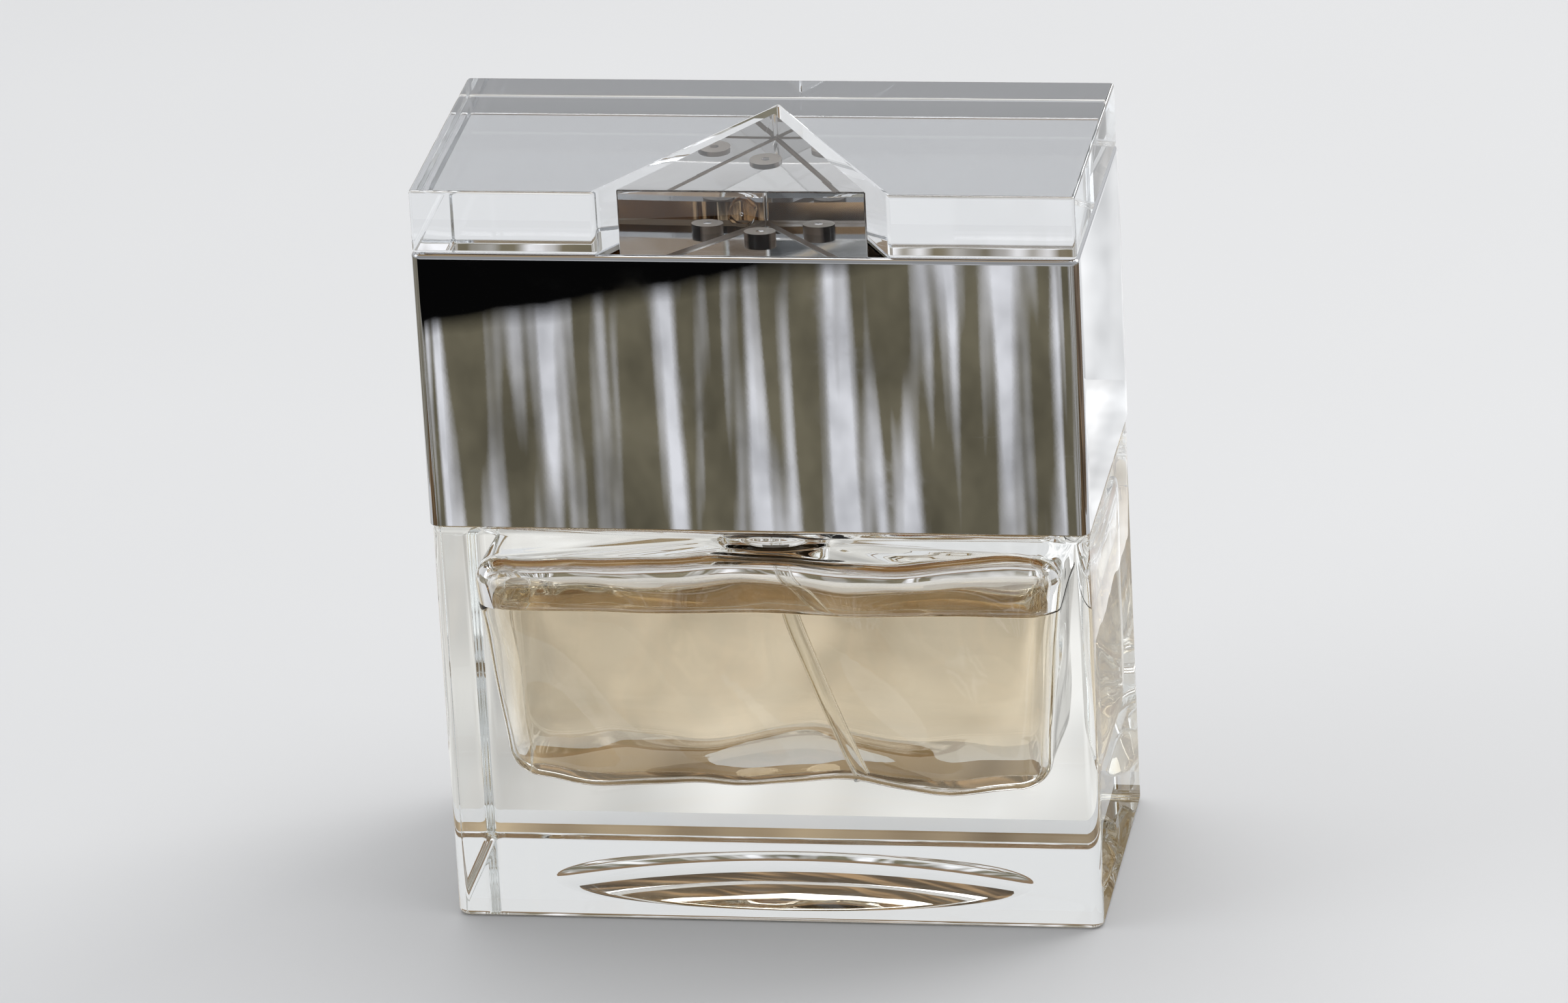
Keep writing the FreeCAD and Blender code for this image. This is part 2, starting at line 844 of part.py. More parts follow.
def snap_collar():
    """The moulded collar that grips the ferrule, lines the chrome cover and takes the pegs."""
    gap = size("collar_gap")
    inset = size("cover_wall") + gap
    width = size("cover_width") - inset * 2
    depth = size("cover_depth") - inset * 2
    foot = shoulder + size("collar_foot_gap")
    top = cover_top - size("cover_wall") - size("slide_gap")
    deck = ferrule_top + gap
    wall = size("collar_wall") * 2
    body = new_body("snap_collar")
    outside = new_sketch(body, "collar_outside", "XY_Plane", foot)
    draw_polygon(outside, rectangle(width, depth))
    block = pad(body, outside, top - foot)
    dress_edges(
        body,
        "Fillet",
        block,
        lambda e: is_upright(e, width.value / 2, depth.value / 2),
        size("cover_corner") - size("cover_wall"),
    )
    under = new_sketch(body, "collar_under", "XY_Plane", foot)
    draw_polygon(under, rectangle(width - wall, depth - wall))
    pocket(body, under, deck - foot, upward=True)
    above = new_sketch(body, "collar_above", "XY_Plane", deck + size("collar_deck"))
    draw_polygon(above, rectangle(width - wall, depth - wall))
    pocket(body, above, top - deck, upward=True)
    sleeve = new_sketch(body, "collar_sleeve", "XY_Plane", deck)
    draw_circle(sleeve, (0, 0), size("ferrule_diameter") + gap + size("sleeve_wall") * 2)
    draw_circle(sleeve, (0, 0), size("ferrule_diameter") + gap)
    pad(body, sleeve, size("sleeve_length"), downward=True)
    posts = new_sketch(body, "collar_posts", "XY_Plane", deck + size("collar_deck"))
    draw_at_pegs(posts, size("post_diameter"))
    pad(body, posts, top - deck - size("collar_deck"))
    hole = new_sketch(body, "collar_hole", "XY_Plane", deck - OVERCUT)
    draw_circle(hole, (0, 0), size("collar_deck_hole"))
    pocket(body, hole, size("collar_deck") + OVERCUT * 2, upward=True)
    peg_holes = new_sketch(body, "collar_peg_holes", "XY_Plane", cover_top - size("peg_length") - gap)
    draw_at_pegs(peg_holes, size("peg_diameter") + size("peg_hole_gap") * 2)
    pocket(body, peg_holes, size("peg_length"), upward=True)
    clear_foot = button_foot - size("press_travel") - OVERCUT
    cut_wedge(body, "collar_notch", front_plane - OVERCUT, clear_foot, block_top - clear_foot)
    return body


def chrome_cover():
    """The mirror-finished metal cover, open below, with the wedge cut in its top plate."""
    wall = size("cover_wall")
    width, depth = size("cover_width"), size("cover_depth")
    foot = shoulder + size("cover_foot_gap")
    body = new_body("chrome_cover")
    outside = new_sketch(body, "cover_outside", "XY_Plane", foot)
    draw_polygon(outside, rectangle(width, depth))
    block = pad(body, outside, cover_top - foot)
    corners = dress_edges(
        body,
        "Fillet",
        block,
        lambda e: is_upright(e, width.value / 2, depth.value / 2),
        size("cover_corner"),
    )
    dress_edges(
        body, "Fillet", corners, lambda e: is_level_at(e, cover_top.value), size("cover_lip")
    )
    inside = new_sketch(body, "cover_inside", "XY_Plane", foot)
    draw_polygon(inside, rectangle(width - wall * 2, depth - wall * 2))
    hollow = pocket(body, inside, cover_top - foot - wall, upward=True)
    dress_edges(
        body,
        "Fillet",
        hollow,
        lambda e: is_upright(e, width.value / 2 - wall.value, depth.value / 2 - wall.value, CLOSE),
        size("cover_corner") - wall,
    )
    cut_wedge(body, "cover_notch", -depth / 2 + wall, cover_top - wall * 2, wall * 3)
    holes = new_sketch(body, "cover_peg_holes", "XY_Plane", cover_top - wall * 2)
    draw_at_pegs(holes, size("peg_diameter") + size("peg_hole_gap") * 2)
    pocket(body, holes, wall * 3, upward=True)
    return body


def acrylic_block():
    """The polished clear block with the open wedge notch and four locating pegs."""
    body = new_body("acrylic_block", cover_top)
    right = size("bottle_width") / 2
    back = size("bottle_depth") / 2
    mouth = (notch_apex - front_plane) / SQRT3
    plan = new_sketch(body, "block_plan", "XY_Plane")
    draw_polygon(
        plan,
        [
            (-right, -back),
            (-mouth, -back),
            (as_size(0), notch_apex),
            (mouth, -back),
            (right, -back),
            (right, back),
            (-right, back),
        ],
    )
    block = pad(body, plan, size("block_height"))
    top = SIZES["block_height"]
    dress_edges(
        body,
        "Chamfer",
        block,
        lambda e: is_level_at(e, top) or is_upright(e, right.value, back.value),
        size("block_edge"),
    )
    pegs = new_sketch(body, "block_pegs", "XY_Plane")
    draw_at_pegs(pegs, size("peg_diameter"))
    pad(body, pegs, size("peg_length"), downward=True)
    return body


# ---------------------------------------------------------------- spray button


def button_prism():
    """The clear triangular button, with a seat for its core, spray channels and a nozzle seat."""
    body = new_body("button_prism", button_foot)
    plan = new_sketch(body, "prism_plan", "XY_Plane")
    draw_polygon(plan, wedge(button_apex, button_front))
    prism = pad(body, plan, size("button_height"))
    top = SIZES["button_height"]
    dress_edges(body, "Chamfer", prism, lambda e: is_level_at(e, top), size("button_edge"))
    seat = new_sketch(body, "core_seat", "XY_Plane")
    draw_circle(seat, (0, 0), size("core_peg"))
    pocket(body, seat, size("core_depth"), upward=True)
    channel = size("spray_channel")
    level = size("nozzle_level") - button_foot
    riser = new_sketch(body, "spray_riser", "XY_Plane")
    draw_circle(riser, (0, 0), channel)
    pocket(body, riser, level, upward=True)
    mouth = new_sketch(body, "nozzle_seat", "XZ_Plane", -button_front)
    draw_circle(mouth, (0, level), size("nozzle_diameter"))
    pocket(body, mouth, size("nozzle_length"), upward=False)
    spray = new_sketch(body, "spray_run", "XZ_Plane", -button_front)
    draw_circle(spray, (0, level), channel)
    pocket(body, spray, -button_front, upward=False)
    return body


def actuator_core():
    """The dark core pressed into the button's underside; its socket takes the stem."""
    outer = size("core_diameter") / 2
    peg = size("core_peg") / 2
    flange = size("core_flange") / 2
    socket = size("stem_diameter") / 2
    channel = size("spray_channel") / 2
    top = size("core_length")
    flange_top = top - size("core_depth")
    flange_foot = flange_top - size("core_flange_thickness")
    socket_top = stem_top - core_foot + size("slide_gap")
    return turned_body(
        "actuator_core",
        core_foot,
        [
            (socket, 0),
            (outer, 0),
            (outer, flange_foot),
            (flange, flange_foot),
            (flange, flange_top),
            (peg, flange_top),
            (peg, top),
            (channel, top),
            (channel, socket_top),
            (socket, socket_top),
        ],
    )


def nozzle_insert():
    """The spray nozzle, a small clear cup whose face is flush with the button's front."""
    outer = size("nozzle_diameter") / 2
    swirl = size("nozzle_swirl") / 2
    orifice = size("nozzle_orifice") / 2
    length = size("nozzle_length")
    depth = size("nozzle_swirl_depth")
    body = turned_body(
        "nozzle_insert",
        size("nozzle_level"),
        [
            (swirl, 0),
            (outer, 0),
            (outer, length),
            (orifice, length),
            (orifice, depth),
            (swirl, depth),
        ],
    )
    bind(body, "Placement.Base.y", button_front + length)
    body.Placement.Rotation = FreeCAD.Rotation(FreeCAD.Vector(1, 0, 0), 90)
    return body


# ---------------------------------------------------------------- build, check and write


def check_document():
    """Stops if any object failed or any sub-part has no valid solid."""
    for thing in doc.Objects:
        if "Invalid" in thing.State or "Error" in thing.State:
            raise ValueError(f"{thing.Name} failed: {thing.State}")
    for thing in sub_parts:
        if thing.Shape.isNull() or not thing.Shape.isValid() or not thing.Shape.Solids:
            raise ValueError(f"{thing.Label} has no valid solid")


def main():
    fill_sheet()
    fragrance_liquid(glass_bottle())
    for build in (
        dip_tube,
        neck_gasket,
        pump_housing,
        inlet_ball,
        return_spring,
        precompression_spring,
        valve_rod,
        piston,
        pump_stem,
        stem_seal,
        turret,
        crimp_ferrule,
        snap_collar,
        chrome_cover,
        acrylic_block,
        button_prism,
        actuator_core,
        nozzle_insert,
    ):
        build()
    doc.recompute()
    check_document()
    os.makedirs("parts", exist_ok=True)
    for thing in sub_parts:
        thing.Shape.exportStep(f"parts/{thing.Label}.step")
        print(f"{thing.Label}: {thing.Shape.Volume:.1f} mm3, {len(thing.Shape.Solids)} solid(s)")


main()
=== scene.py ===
import math

import bmesh
import bpy
from mathutils import Matrix, Vector


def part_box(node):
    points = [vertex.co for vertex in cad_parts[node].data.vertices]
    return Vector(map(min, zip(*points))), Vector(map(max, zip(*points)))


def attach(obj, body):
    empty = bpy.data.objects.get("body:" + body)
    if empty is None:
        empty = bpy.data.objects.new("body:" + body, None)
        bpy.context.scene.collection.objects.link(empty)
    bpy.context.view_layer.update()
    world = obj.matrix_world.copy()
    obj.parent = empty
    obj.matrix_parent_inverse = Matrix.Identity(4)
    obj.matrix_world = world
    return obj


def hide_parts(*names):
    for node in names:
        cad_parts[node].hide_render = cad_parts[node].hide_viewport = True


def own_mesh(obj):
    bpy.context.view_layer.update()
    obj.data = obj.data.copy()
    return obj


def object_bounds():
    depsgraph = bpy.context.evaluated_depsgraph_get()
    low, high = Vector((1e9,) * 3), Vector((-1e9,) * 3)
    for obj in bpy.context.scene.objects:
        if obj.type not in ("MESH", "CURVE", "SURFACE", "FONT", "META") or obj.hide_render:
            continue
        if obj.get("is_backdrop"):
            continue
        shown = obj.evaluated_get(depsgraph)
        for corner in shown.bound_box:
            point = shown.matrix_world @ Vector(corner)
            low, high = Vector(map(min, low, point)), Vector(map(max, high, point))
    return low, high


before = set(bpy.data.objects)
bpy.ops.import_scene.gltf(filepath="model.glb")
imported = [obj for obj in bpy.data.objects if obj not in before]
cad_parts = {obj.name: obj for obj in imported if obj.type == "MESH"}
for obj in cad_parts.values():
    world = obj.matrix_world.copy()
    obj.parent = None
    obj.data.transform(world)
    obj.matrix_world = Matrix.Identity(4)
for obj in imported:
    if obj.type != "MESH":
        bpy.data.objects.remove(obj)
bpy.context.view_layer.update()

MM = 0.001

# ---------------------------------------------------------------- sizes
# Boxes come from the CAD nodes; the rest are the few inner sizes that a box doesn't give. Where
# a wall has two sizes, the first is at the floor of the inside and the second at its ceiling.

_, bottle_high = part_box("glass_bottle")
cover_low, cover_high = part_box("chrome_cover")
_, block_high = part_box("acrylic_block")
button_low, button_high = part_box("button_prism")
_, liquid_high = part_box("fragrance_liquid")
_, tube_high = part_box("dip_tube")
_, core_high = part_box("actuator_core")
nozzle_low, nozzle_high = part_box("nozzle_insert")

SEAM_GAP = 0.2 * MM
SHOULDER = cover_low.z - SEAM_GAP
FLOOR_HEIGHT = 12.4 * MM
CEILING_HEIGHT = 36.0 * MM
SIDE_WALL = (4.95 * MM, 3.15 * MM)
FRONT_WALL = (4.4 * MM, 3.9 * MM)
BOTTLE_CORNER = 1.2 * MM
BOTTLE_EDGE = 0.6 * MM
CAVITY_CORNER = 3.2 * MM
CAVITY_EDGE = 2.6 * MM
CAVITY_EDGE_STEPS = (9, 10, 90)
NECK_RADIUS = 6.5 * MM
BORE_RADIUS = 5.2 * MM
BEAD_RADIUS = 7.45 * MM
BEAD_HEIGHT = 3.6 * MM
MOUTH_FLARE = 1.25
MOUTH_THROAT = 1.08
MOUTH_THROAT_RISE = 0.35 * MM
PUNT_HALF = (23.0 * MM, 10.5 * MM)
PUNT_DEPTH = 2.0 * MM
LIQUID_OVERLAP = 0.04 * MM
MENISCUS_HEIGHT = 0.7 * MM
MENISCUS_REACH = 0.9 * MM
MENISCUS_STEPS = (0.0, 0.12, 0.3, 0.55, 0.9, 1.4, 2.1, 3.2, 4.6, 6.4, 8.4)
MENISCUS_INSETS = [step * MM for step in MENISCUS_STEPS]
COVER_WALL = 0.5 * MM
COVER_CORNER = 0.9 * MM
COVER_LIP = 0.45 * MM
AIR_GAP = 0.03 * MM
BLOCK_BEVEL = 0.35 * MM
BUTTON_BEVEL = 0.15 * MM
BUTTON_FOOT_BEVEL = 0.3 * MM
BUTTON_GAP = 1.33 * MM
PEG_RADIUS = 1.5 * MM
SNUG = 0.02 * MM
EDGE_HOLD = 0.1 * MM
OFF_AXIS = 0.01 * MM
ORIFICE_RADIUS = 0.15 * MM
ORIFICE_DEPTH = 0.25 * MM
SQRT3 = math.sqrt(3)

# ---------------------------------------------------------------- mesh helpers

CORNER_STEPS = 8
LONG_STEPS = 44
SHORT_STEPS = 20
TURNED_STEPS = 64
BEVEL_STEPS = 3
FLAT_FACE_WEIGHT = 80
SMALLEST_RADIUS = 0.001 * MM


def outline(half_x, half_y, radius):
    """Points round a rounded rectangle, counter-clockwise, always the same number of them."""
    radius = max(min(radius, half_x, half_y), SMALLEST_RADIUS)
    corners = ((1, -1, -90), (1, 1, 0), (-1, 1, 90), (-1, -1, 180))

    def on_corner(corner, turn):
        """The point where a corner's arc has turned by some degrees."""
        side_x, side_y, start = corners[corner % 4]
        angle = math.radians(start + turn)
        x = side_x * (half_x - radius) + radius * math.cos(angle)
        y = side_y * (half_y - radius) + radius * math.sin(angle)
        return Vector((x, y))

    points = []
    for corner in range(4):
        for step in range(CORNER_STEPS + 1):
            points.append(on_corner(corner, 90 * step / CORNER_STEPS))
        following = on_corner(corner + 1, 0)
        steps = LONG_STEPS if corner % 2 else SHORT_STEPS
        last = points[-1]
        for step in range(1, steps):
            points.append(last.lerp(following, step / steps))
    return points


def oval(half_x, half_y, like):
    """Points round an ellipse, at the polar angles of another outline's points."""
    angles = [math.atan2(p.y / half_y, p.x / half_x) for p in like]
    return [Vector((half_x * math.cos(a), half_y * math.sin(a))) for a in angles]


def at_height(points, height):
    """Plan points lifted to a height."""
    return [Vector((p.x, p.y, height)) for p in points]


def scaled(points, share, height):
    """Points scaled about the middle, at a height."""
    return [Vector((p.x * share, p.y * share, height)) for p in points]


def drawn_in(half_x, half_y, radius, inset, height):
    """A rounded rectangle drawn in evenly, lifted to a height."""
    return at_height(outline(half_x - inset, half_y - inset, radius - inset), height)


def between(first, second, share):
    """The ring that lies a share of the way from one ring to another."""
    return [a.lerp(b, share) for a, b in zip(first, second)]


def shares(count, start=0.0, end=1.0):
    """Evenly spaced numbers from start to end, both included."""
    return [start + (end - start) * i / (count - 1) for i in range(count)]


def quarter_turn(radius, count, start, end):
    """Steps round a rounded edge, each as its distances from the edge's two faces."""
    angles = [math.radians(turn) for turn in shares(count, start, end)]
    return [(radius * (1 - math.cos(a)), radius * (1 - math.sin(a))) for a in angles]


def new_object(name, bm):
    """Turns a finished bmesh into an object of the scene, its faces turned outward."""
    bmesh.ops.recalc_face_normals(bm, faces=bm.faces)
    mesh = bpy.data.meshes.new(name)
    bm.to_mesh(mesh)
    bm.free()
    piece = bpy.data.objects.new(name, mesh)
    bpy.context.scene.collection.objects.link(piece)
    return piece


def loft(name, rings, ends="fans"):
    """A closed skin through rings of equally many points. Its two ends are closed by fans or by
    flat faces, or joined to each other."""
    bm = bmesh.new()
    rows = [[bm.verts.new(point) for point in ring] for ring in rings]
    count = len(rows[0])
    joined = ends == "joined"
    for low, high in zip(rows, rows[1:] + rows[: int(joined)]):
        for i in range(count):
            j = (i + 1) % count
            bm.faces.new((low[i], low[j], high[j], high[i]))
    for row in () if joined else (rows[0], rows[-1]):
        if ends == "flat":
            bm.faces.new(row)
            continue
        centre = bm.verts.new(sum((v.co for v in row), Vector()) / count)
        for i in range(count):
            bm.faces.new((row[i], row[(i + 1) % count], centre))
    return new_object(name, bm)


def turned(name, profile):
    """A closed solid turned about Z from (radius, height) points that don't touch the axis."""
    rings = []
    for step in range(TURNED_STEPS):
        angle = 2 * math.pi * step / TURNED_STEPS
        rings.append([Vector((r * math.cos(angle), r * math.sin(angle), z)) for r, z in profile])
    return loft(name, rings, ends="joined")


def prism_solid(name, plan, foot, top, bevel=0.0):
    """A solid on a polygon plan, its edges rounded by a small bevel."""
    bm = bmesh.new()
    low = [bm.verts.new((x, y, foot)) for x, y in plan]
    high = [bm.verts.new((x, y, top)) for x, y in plan]
    bm.faces.new(low)
    bm.faces.new(high)
    for i in range(len(plan)):
        j = (i + 1) % len(plan)
        bm.faces.new((low[i], low[j], high[j], high[i]))
    if bevel:
        bmesh.ops.bevel(
            bm,
            geom=bm.edges[:],
            offset=bevel,
            segments=BEVEL_STEPS,
            profile=0.5,
            affect="EDGES",
        )
    return new_object(name, bm)


def rod_solid(name, start, end, radius, steps):
    """A plain round bar between two points, used only to cut."""
    bm = bmesh.new()
    bmesh.ops.create_cone(
        bm,
        cap_ends=True,
        segments=steps,
        radius1=radius,
        radius2=radius,
        depth=(end - start).length,
    )
    turn = Vector((0, 0, 1)).rotation_difference(end - start).to_matrix().to_4x4()
    place = Matrix.Translation((start + end) / 2)
    bmesh.ops.transform(bm, matrix=place @ turn, verts=bm.verts)
    return new_object(name, bm)


def apply_modifiers(piece):
    """Makes a piece's modifiers part of its mesh."""
    graph = bpy.context.evaluated_depsgraph_get()
    mesh = bpy.data.meshes.new_from_object(piece.evaluated_get(graph), depsgraph=graph)
    piece.modifiers.clear()
    piece.data = mesh
    return piece


def cut(piece, tools):
    """Cuts tools from a piece and removes them."""
    for tool in tools:
        modifier = piece.modifiers.new("cut", "BOOLEAN")
        modifier.operation = "DIFFERENCE"
        modifier.solver = "EXACT"
        modifier.object = tool
        apply_modifiers(piece)
        bpy.data.objects.remove(tool)


def smooth(piece, crease_degrees):
    """Smooth shading that keeps large flats flat and creases sharp."""
    bm = bmesh.new()
    bm.from_mesh(piece.data)
    for face in bm.faces:
        face.smooth = True
    for edge in bm.edges:
        angle = edge.calc_face_angle(0.0)
        edge.smooth = angle < math.radians(crease_degrees)
    bm.to_mesh(piece.data)
    bm.free()
    modifier = piece.modifiers.new("flat_faces", "WEIGHTED_NORMAL")
    modifier.weight = FLAT_FACE_WEIGHT
    modifier.keep_sharp = True
    return apply_modifiers(piece)


# ---------------------------------------------------------------- material helpers

# The sockets of Blender's Mix node that carry its share and its two colours, and its colour out.
MIX_INPUTS = (0, 6, 7)
MIX_OUTPUT = 2


class Nodes:
    """A material's node tree, with short ways to add and join nodes. A value is another node's
    output, or a constant, which is set on the input itself."""

    def __init__(self, name):
        """Starts from the material's own Principled shader and the object's coordinates."""
        self.material = bpy.data.materials.new(name)
        self.material.use_nodes = True
        self.tree = self.material.node_tree
        self.shader = self.tree.nodes["Principled BSDF"]
        self.output = self.tree.nodes["Material Output"]
        self.place = self.add("ShaderNodeTexCoord").outputs["Object"]

    def add(self, kind, **settings):
        """A new node with its settings."""
        node = self.tree.nodes.new(kind)
        for key, value in settings.items():
            setattr(node, key, value)
        return node

    def put(self, value, target):
        """Joins an output to an input, or sets the input to a number, a colour or a vector."""
        if isinstance(value, bpy.types.NodeSocket):
            self.tree.links.new(value, target)
        elif target.type == "RGBA":
            target.default_value = (*value, 1)
        else:
            target.default_value = value

    def set(self, **values):
        """Puts values on the shader's inputs, named with _ for a space."""
        for name, value in values.items():
            self.put(value, self.shader.inputs[name.replace("_", " ")])

    def stretched(self, scale):
        """Object coordinates scaled along each axis."""
        node = self.add("ShaderNodeMapping")
        self.put(self.place, node.inputs["Vector"])
        self.put(scale, node.inputs["Scale"])
        return node.outputs["Vector"]

    def split(self, value, axis):
        """One axis of a vector."""
        node = self.add("ShaderNodeSeparateXYZ")
        self.put(value, node.inputs[0])
        return node.outputs[axis]

    def noise(self, scale, detail, roughness, where=None, distortion=0.0):
        """Soft noise from about 0 to 1."""
        node = self.add("ShaderNodeTexNoise")
        self.put(where or self.place, node.inputs["Vector"])
        self.put(scale, node.inputs["Scale"])
        self.put(detail, node.inputs["Detail"])
        self.put(roughness, node.inputs["Roughness"])
        self.put(distortion, node.inputs["Distortion"])
        return node.outputs["Fac"]

    def remap(self, value, low, high, to_low=0.0, to_high=1.0):
        """A value's range low to high, spread over another range and held inside it."""
        node = self.add("ShaderNodeMapRange", clamp=True)
        for socket, item in zip(node.inputs, (value, low, high, to_low, to_high)):
            self.put(item, socket)
        return node.outputs[0]

    def math(self, operation, *values):
        """The result of one operation on numbers."""
        node = self.add("ShaderNodeMath", operation=operation)
        for socket, item in zip(node.inputs, values):
            self.put(item, socket)
        return node.outputs[0]

    def mix(self, share, first, second, blend="MIX"):
        """Two colours mixed by a share."""
        node = self.add("ShaderNodeMix", data_type="RGBA", blend_type=blend)
        for index, item in zip(MIX_INPUTS, (share, first, second)):
            self.put(item, node.inputs[index])
        return node.outputs[MIX_OUTPUT]

    def bump(self, height, strength, distance, before=None):
        """A normal that follows a height, over an earlier normal if there is one."""
        node = self.add("ShaderNodeBump")
        self.put(height, node.inputs["Height"])
        self.put(strength, node.inputs["Strength"])
        self.put(distance, node.inputs["Distance"])
        if before is not None:
            self.put(before, node.inputs["Normal"])
        return node.outputs["Normal"]


def hairlines(nodes, scale, low, high, lightest, deepest):
    """Fine crossing scratches, as a roughness from the lightest to the deepest."""
    across = nodes.noise(1.0, 2.0, 0.6, nodes.stretched((scale, scale * 0.03, scale * 0.4)))
    along = nodes.noise(1.0, 2.0, 0.6, nodes.stretched((scale * 0.04, scale, scale * 0.5)))
    return nodes.remap(nodes.math("MAXIMUM", across, along), low, high, lightest, deepest)


def absorb(nodes, colour, density):
    """Fills a clear solid with a tint that deepens with the light's way through it."""
    volume = nodes.add("ShaderNodeVolumeAbsorption")
    nodes.put(colour, volume.inputs["Color"])
    nodes.put(density, volume.inputs["Density"])
    nodes.put(volume.outputs[0], nodes.output.inputs["Volume"])


def clear_material(name, index, colour, tint, density, wave_scale, wave_height, rough):
    """A clear solid: faint surface waves, smudges and hairlines over a tinted body. The roughness
    is that of the clean surface, of smudges and of hairlines."""
    clean, smudged, scratched = rough
    nodes = Nodes(name)
    smudges = nodes.noise(scale=140.0, detail=4.0, roughness=0.62, distortion=0.4)
    smudges = nodes.remap(smudges, 0.55, 0.78, clean, smudged)
    lines = hairlines(nodes, 2600.0, 0.72, 0.80, clean, scratched)
    waves = nodes.noise(scale=wave_scale, detail=2.0, roughness=0.45)
    nodes.set(
        Base_Color=colour,
        IOR=index,
        Transmission_Weight=1.0,
        Roughness=nodes.math("MAXIMUM", smudges, lines),
        Normal=nodes.bump(waves, strength=0.35, distance=wave_height),
    )
    absorb(nodes, tint, density)
    return nodes.material


def glass_material():
    """Heavy bottle glass with a trace of green."""
    return clear_material(
        "clear_glass",
        index=1.52,
        colour=(0.985, 0.988, 0.986),
        tint=(0.86, 0.93, 0.92),
        density=6.0,
        wave_scale=85.0,
        wave_height=0.05 * MM,
        rough=(0.0, 0.012, 0.02),
    )


def acrylic_material():
    """Polished acrylic with a trace of blue."""
    return clear_material(
        "clear_acrylic",
        index=1.49,
        colour=(0.99, 0.992, 0.995),
        tint=(0.80, 0.90, 0.97),
        density=5.0,
        wave_scale=60.0,
        wave_height=0.02 * MM,
        rough=(0.0, 0.014, 0.05),
    )


def liquid_material():
    """Pale amber fragrance; its colour is in its depth."""
    nodes = Nodes("fragrance")
    ripples = nodes.noise(scale=160.0, detail=2.0, roughness=0.4)
    nodes.set(
        Base_Color=(1, 1, 1),
        IOR=1.36,
        Transmission_Weight=1.0,
        Roughness=0.0,
        Normal=nodes.bump(ripples, strength=0.15, distance=0.02 * MM),
    )
    absorb(nodes, (0.74, 0.52, 0.08), density=26.0)
    return nodes.material


def tube_material():
    """Clear tubing, with one index over its whole length, in air and in liquid."""
    nodes = Nodes("clear_tubing")
    drawn = nodes.noise(1.0, 2.0, 0.5, nodes.stretched((3000.0, 3000.0, 60.0)))
    nodes.set(
        Base_Color=(0.97, 0.975, 0.97),
        IOR=1.35,
        Transmission_Weight=1.0,
        Roughness=nodes.remap(drawn, 0.3, 0.7, 0.01, 0.05),
    )
    return nodes.material


def chrome_material():
    """Mirror chrome with faint sheet waves, smudges and polishing lines."""
    nodes = Nodes("mirror_chrome")
    tone = nodes.noise(scale=35.0, detail=3.0, roughness=0.5)
    smudges = nodes.noise(scale=110.0, detail=5.0, roughness=0.65, distortion=0.6)
    smudges = nodes.remap(smudges, 0.52, 0.8, 0.015, 0.07)
    lines = hairlines(nodes, 3200.0, 0.74, 0.84, 0.015, 0.06)
    waves = nodes.noise(scale=48.0, detail=1.0, roughness=0.4)
    sheet = nodes.bump(waves, strength=0.30, distance=0.06 * MM)
    grain = nodes.noise(scale=2400.0, detail=2.0, roughness=0.5)
    nodes.set(
        Metallic=1.0,
        Base_Color=nodes.mix(tone, (0.56, 0.57, 0.59), (0.63, 0.64, 0.66)),
        Roughness=nodes.math("MAXIMUM", smudges, lines),
        Normal=nodes.bump(grain, strength=0.03, distance=0.004 * MM, before=sheet),
    )
    return nodes.material


def plastic_material(name, dark, light, roughness, grain_scale, grain_height, see_through=0.0):
    """Moulded plastic: slight flow marks in the colour and a fine moulded grain."""
    nodes = Nodes(name)
    flow = nodes.noise(scale=90.0, detail=4.0, roughness=0.6, distortion=1.2)
    wear = nodes.noise(scale=320.0, detail=4.0, roughness=0.6)
    grain = nodes.noise(scale=grain_scale, detail=3.0, roughness=0.55)
    nodes.set(
        IOR=1.5,
        Transmission_Weight=see_through,
        Base_Color=nodes.mix(flow, dark, light),
        Roughness=nodes.remap(wear, 0.3, 0.75, *roughness),
        Normal=nodes.bump(grain, strength=0.4, distance=grain_height),
    )
    return nodes.material


def metal_material(name, dark, light, roughness, streaks, height):
    """Bare metal with streaks from drawing or turning."""
    nodes = Nodes(name)
    drawn = nodes.noise(1.0, 3.0, 0.6, nodes.stretched(streaks))
    nodes.set(
        Metallic=1.0,
        Base_Color=nodes.mix(drawn, dark, light),
        Roughness=nodes.remap(drawn, 0.3, 0.75, *roughness),
        Normal=nodes.bump(drawn, strength=0.35, distance=height),
    )
    return nodes.material


def core_material():
    """Taupe moulding, with painted light that makes its top paler and painted shade that makes the
    side facing the nozzle near black.
    """
    nodes = Nodes("dark_plastic")
    facing = nodes.add("ShaderNodeNewGeometry").outputs["Normal"]
    # painted light: faces turned upward are mixed towards the paler tone below
    top = nodes.remap(nodes.split(facing, "Z"), 0.5, 0.8)
    # painted shade: faces turned to the front, towards the nozzle, are mixed towards near black
    painted_shade_front = nodes.remap(nodes.split(facing, "Y"), -0.80, -0.62, 1.0, 0.0)
    flow = nodes.noise(scale=90.0, detail=4.0, roughness=0.6, distortion=1.2)
    grain = nodes.noise(scale=1400.0, detail=3.0, roughness=0.55)
    colour = nodes.mix(flow, (0.27, 0.215, 0.175), (0.40, 0.33, 0.275))
    # the paler copy of the taupe, used for the painted light on top
    pale = nodes.mix(flow, (0.38, 0.345, 0.31), (0.50, 0.46, 0.42))
    # the near-black copy of the taupe, used for the painted shade at the front
    dark = nodes.mix(flow, (0.008, 0.005, 0.003), (0.025, 0.015, 0.010))
    nodes.set(
        Base_Color=nodes.mix(painted_shade_front, nodes.mix(top, colour, pale), dark),
        Roughness=nodes.remap(flow, 0.3, 0.75, 0.12, 0.3),
        Normal=nodes.bump(grain, strength=0.4, distance=0.01 * MM),
    )
    return nodes.material


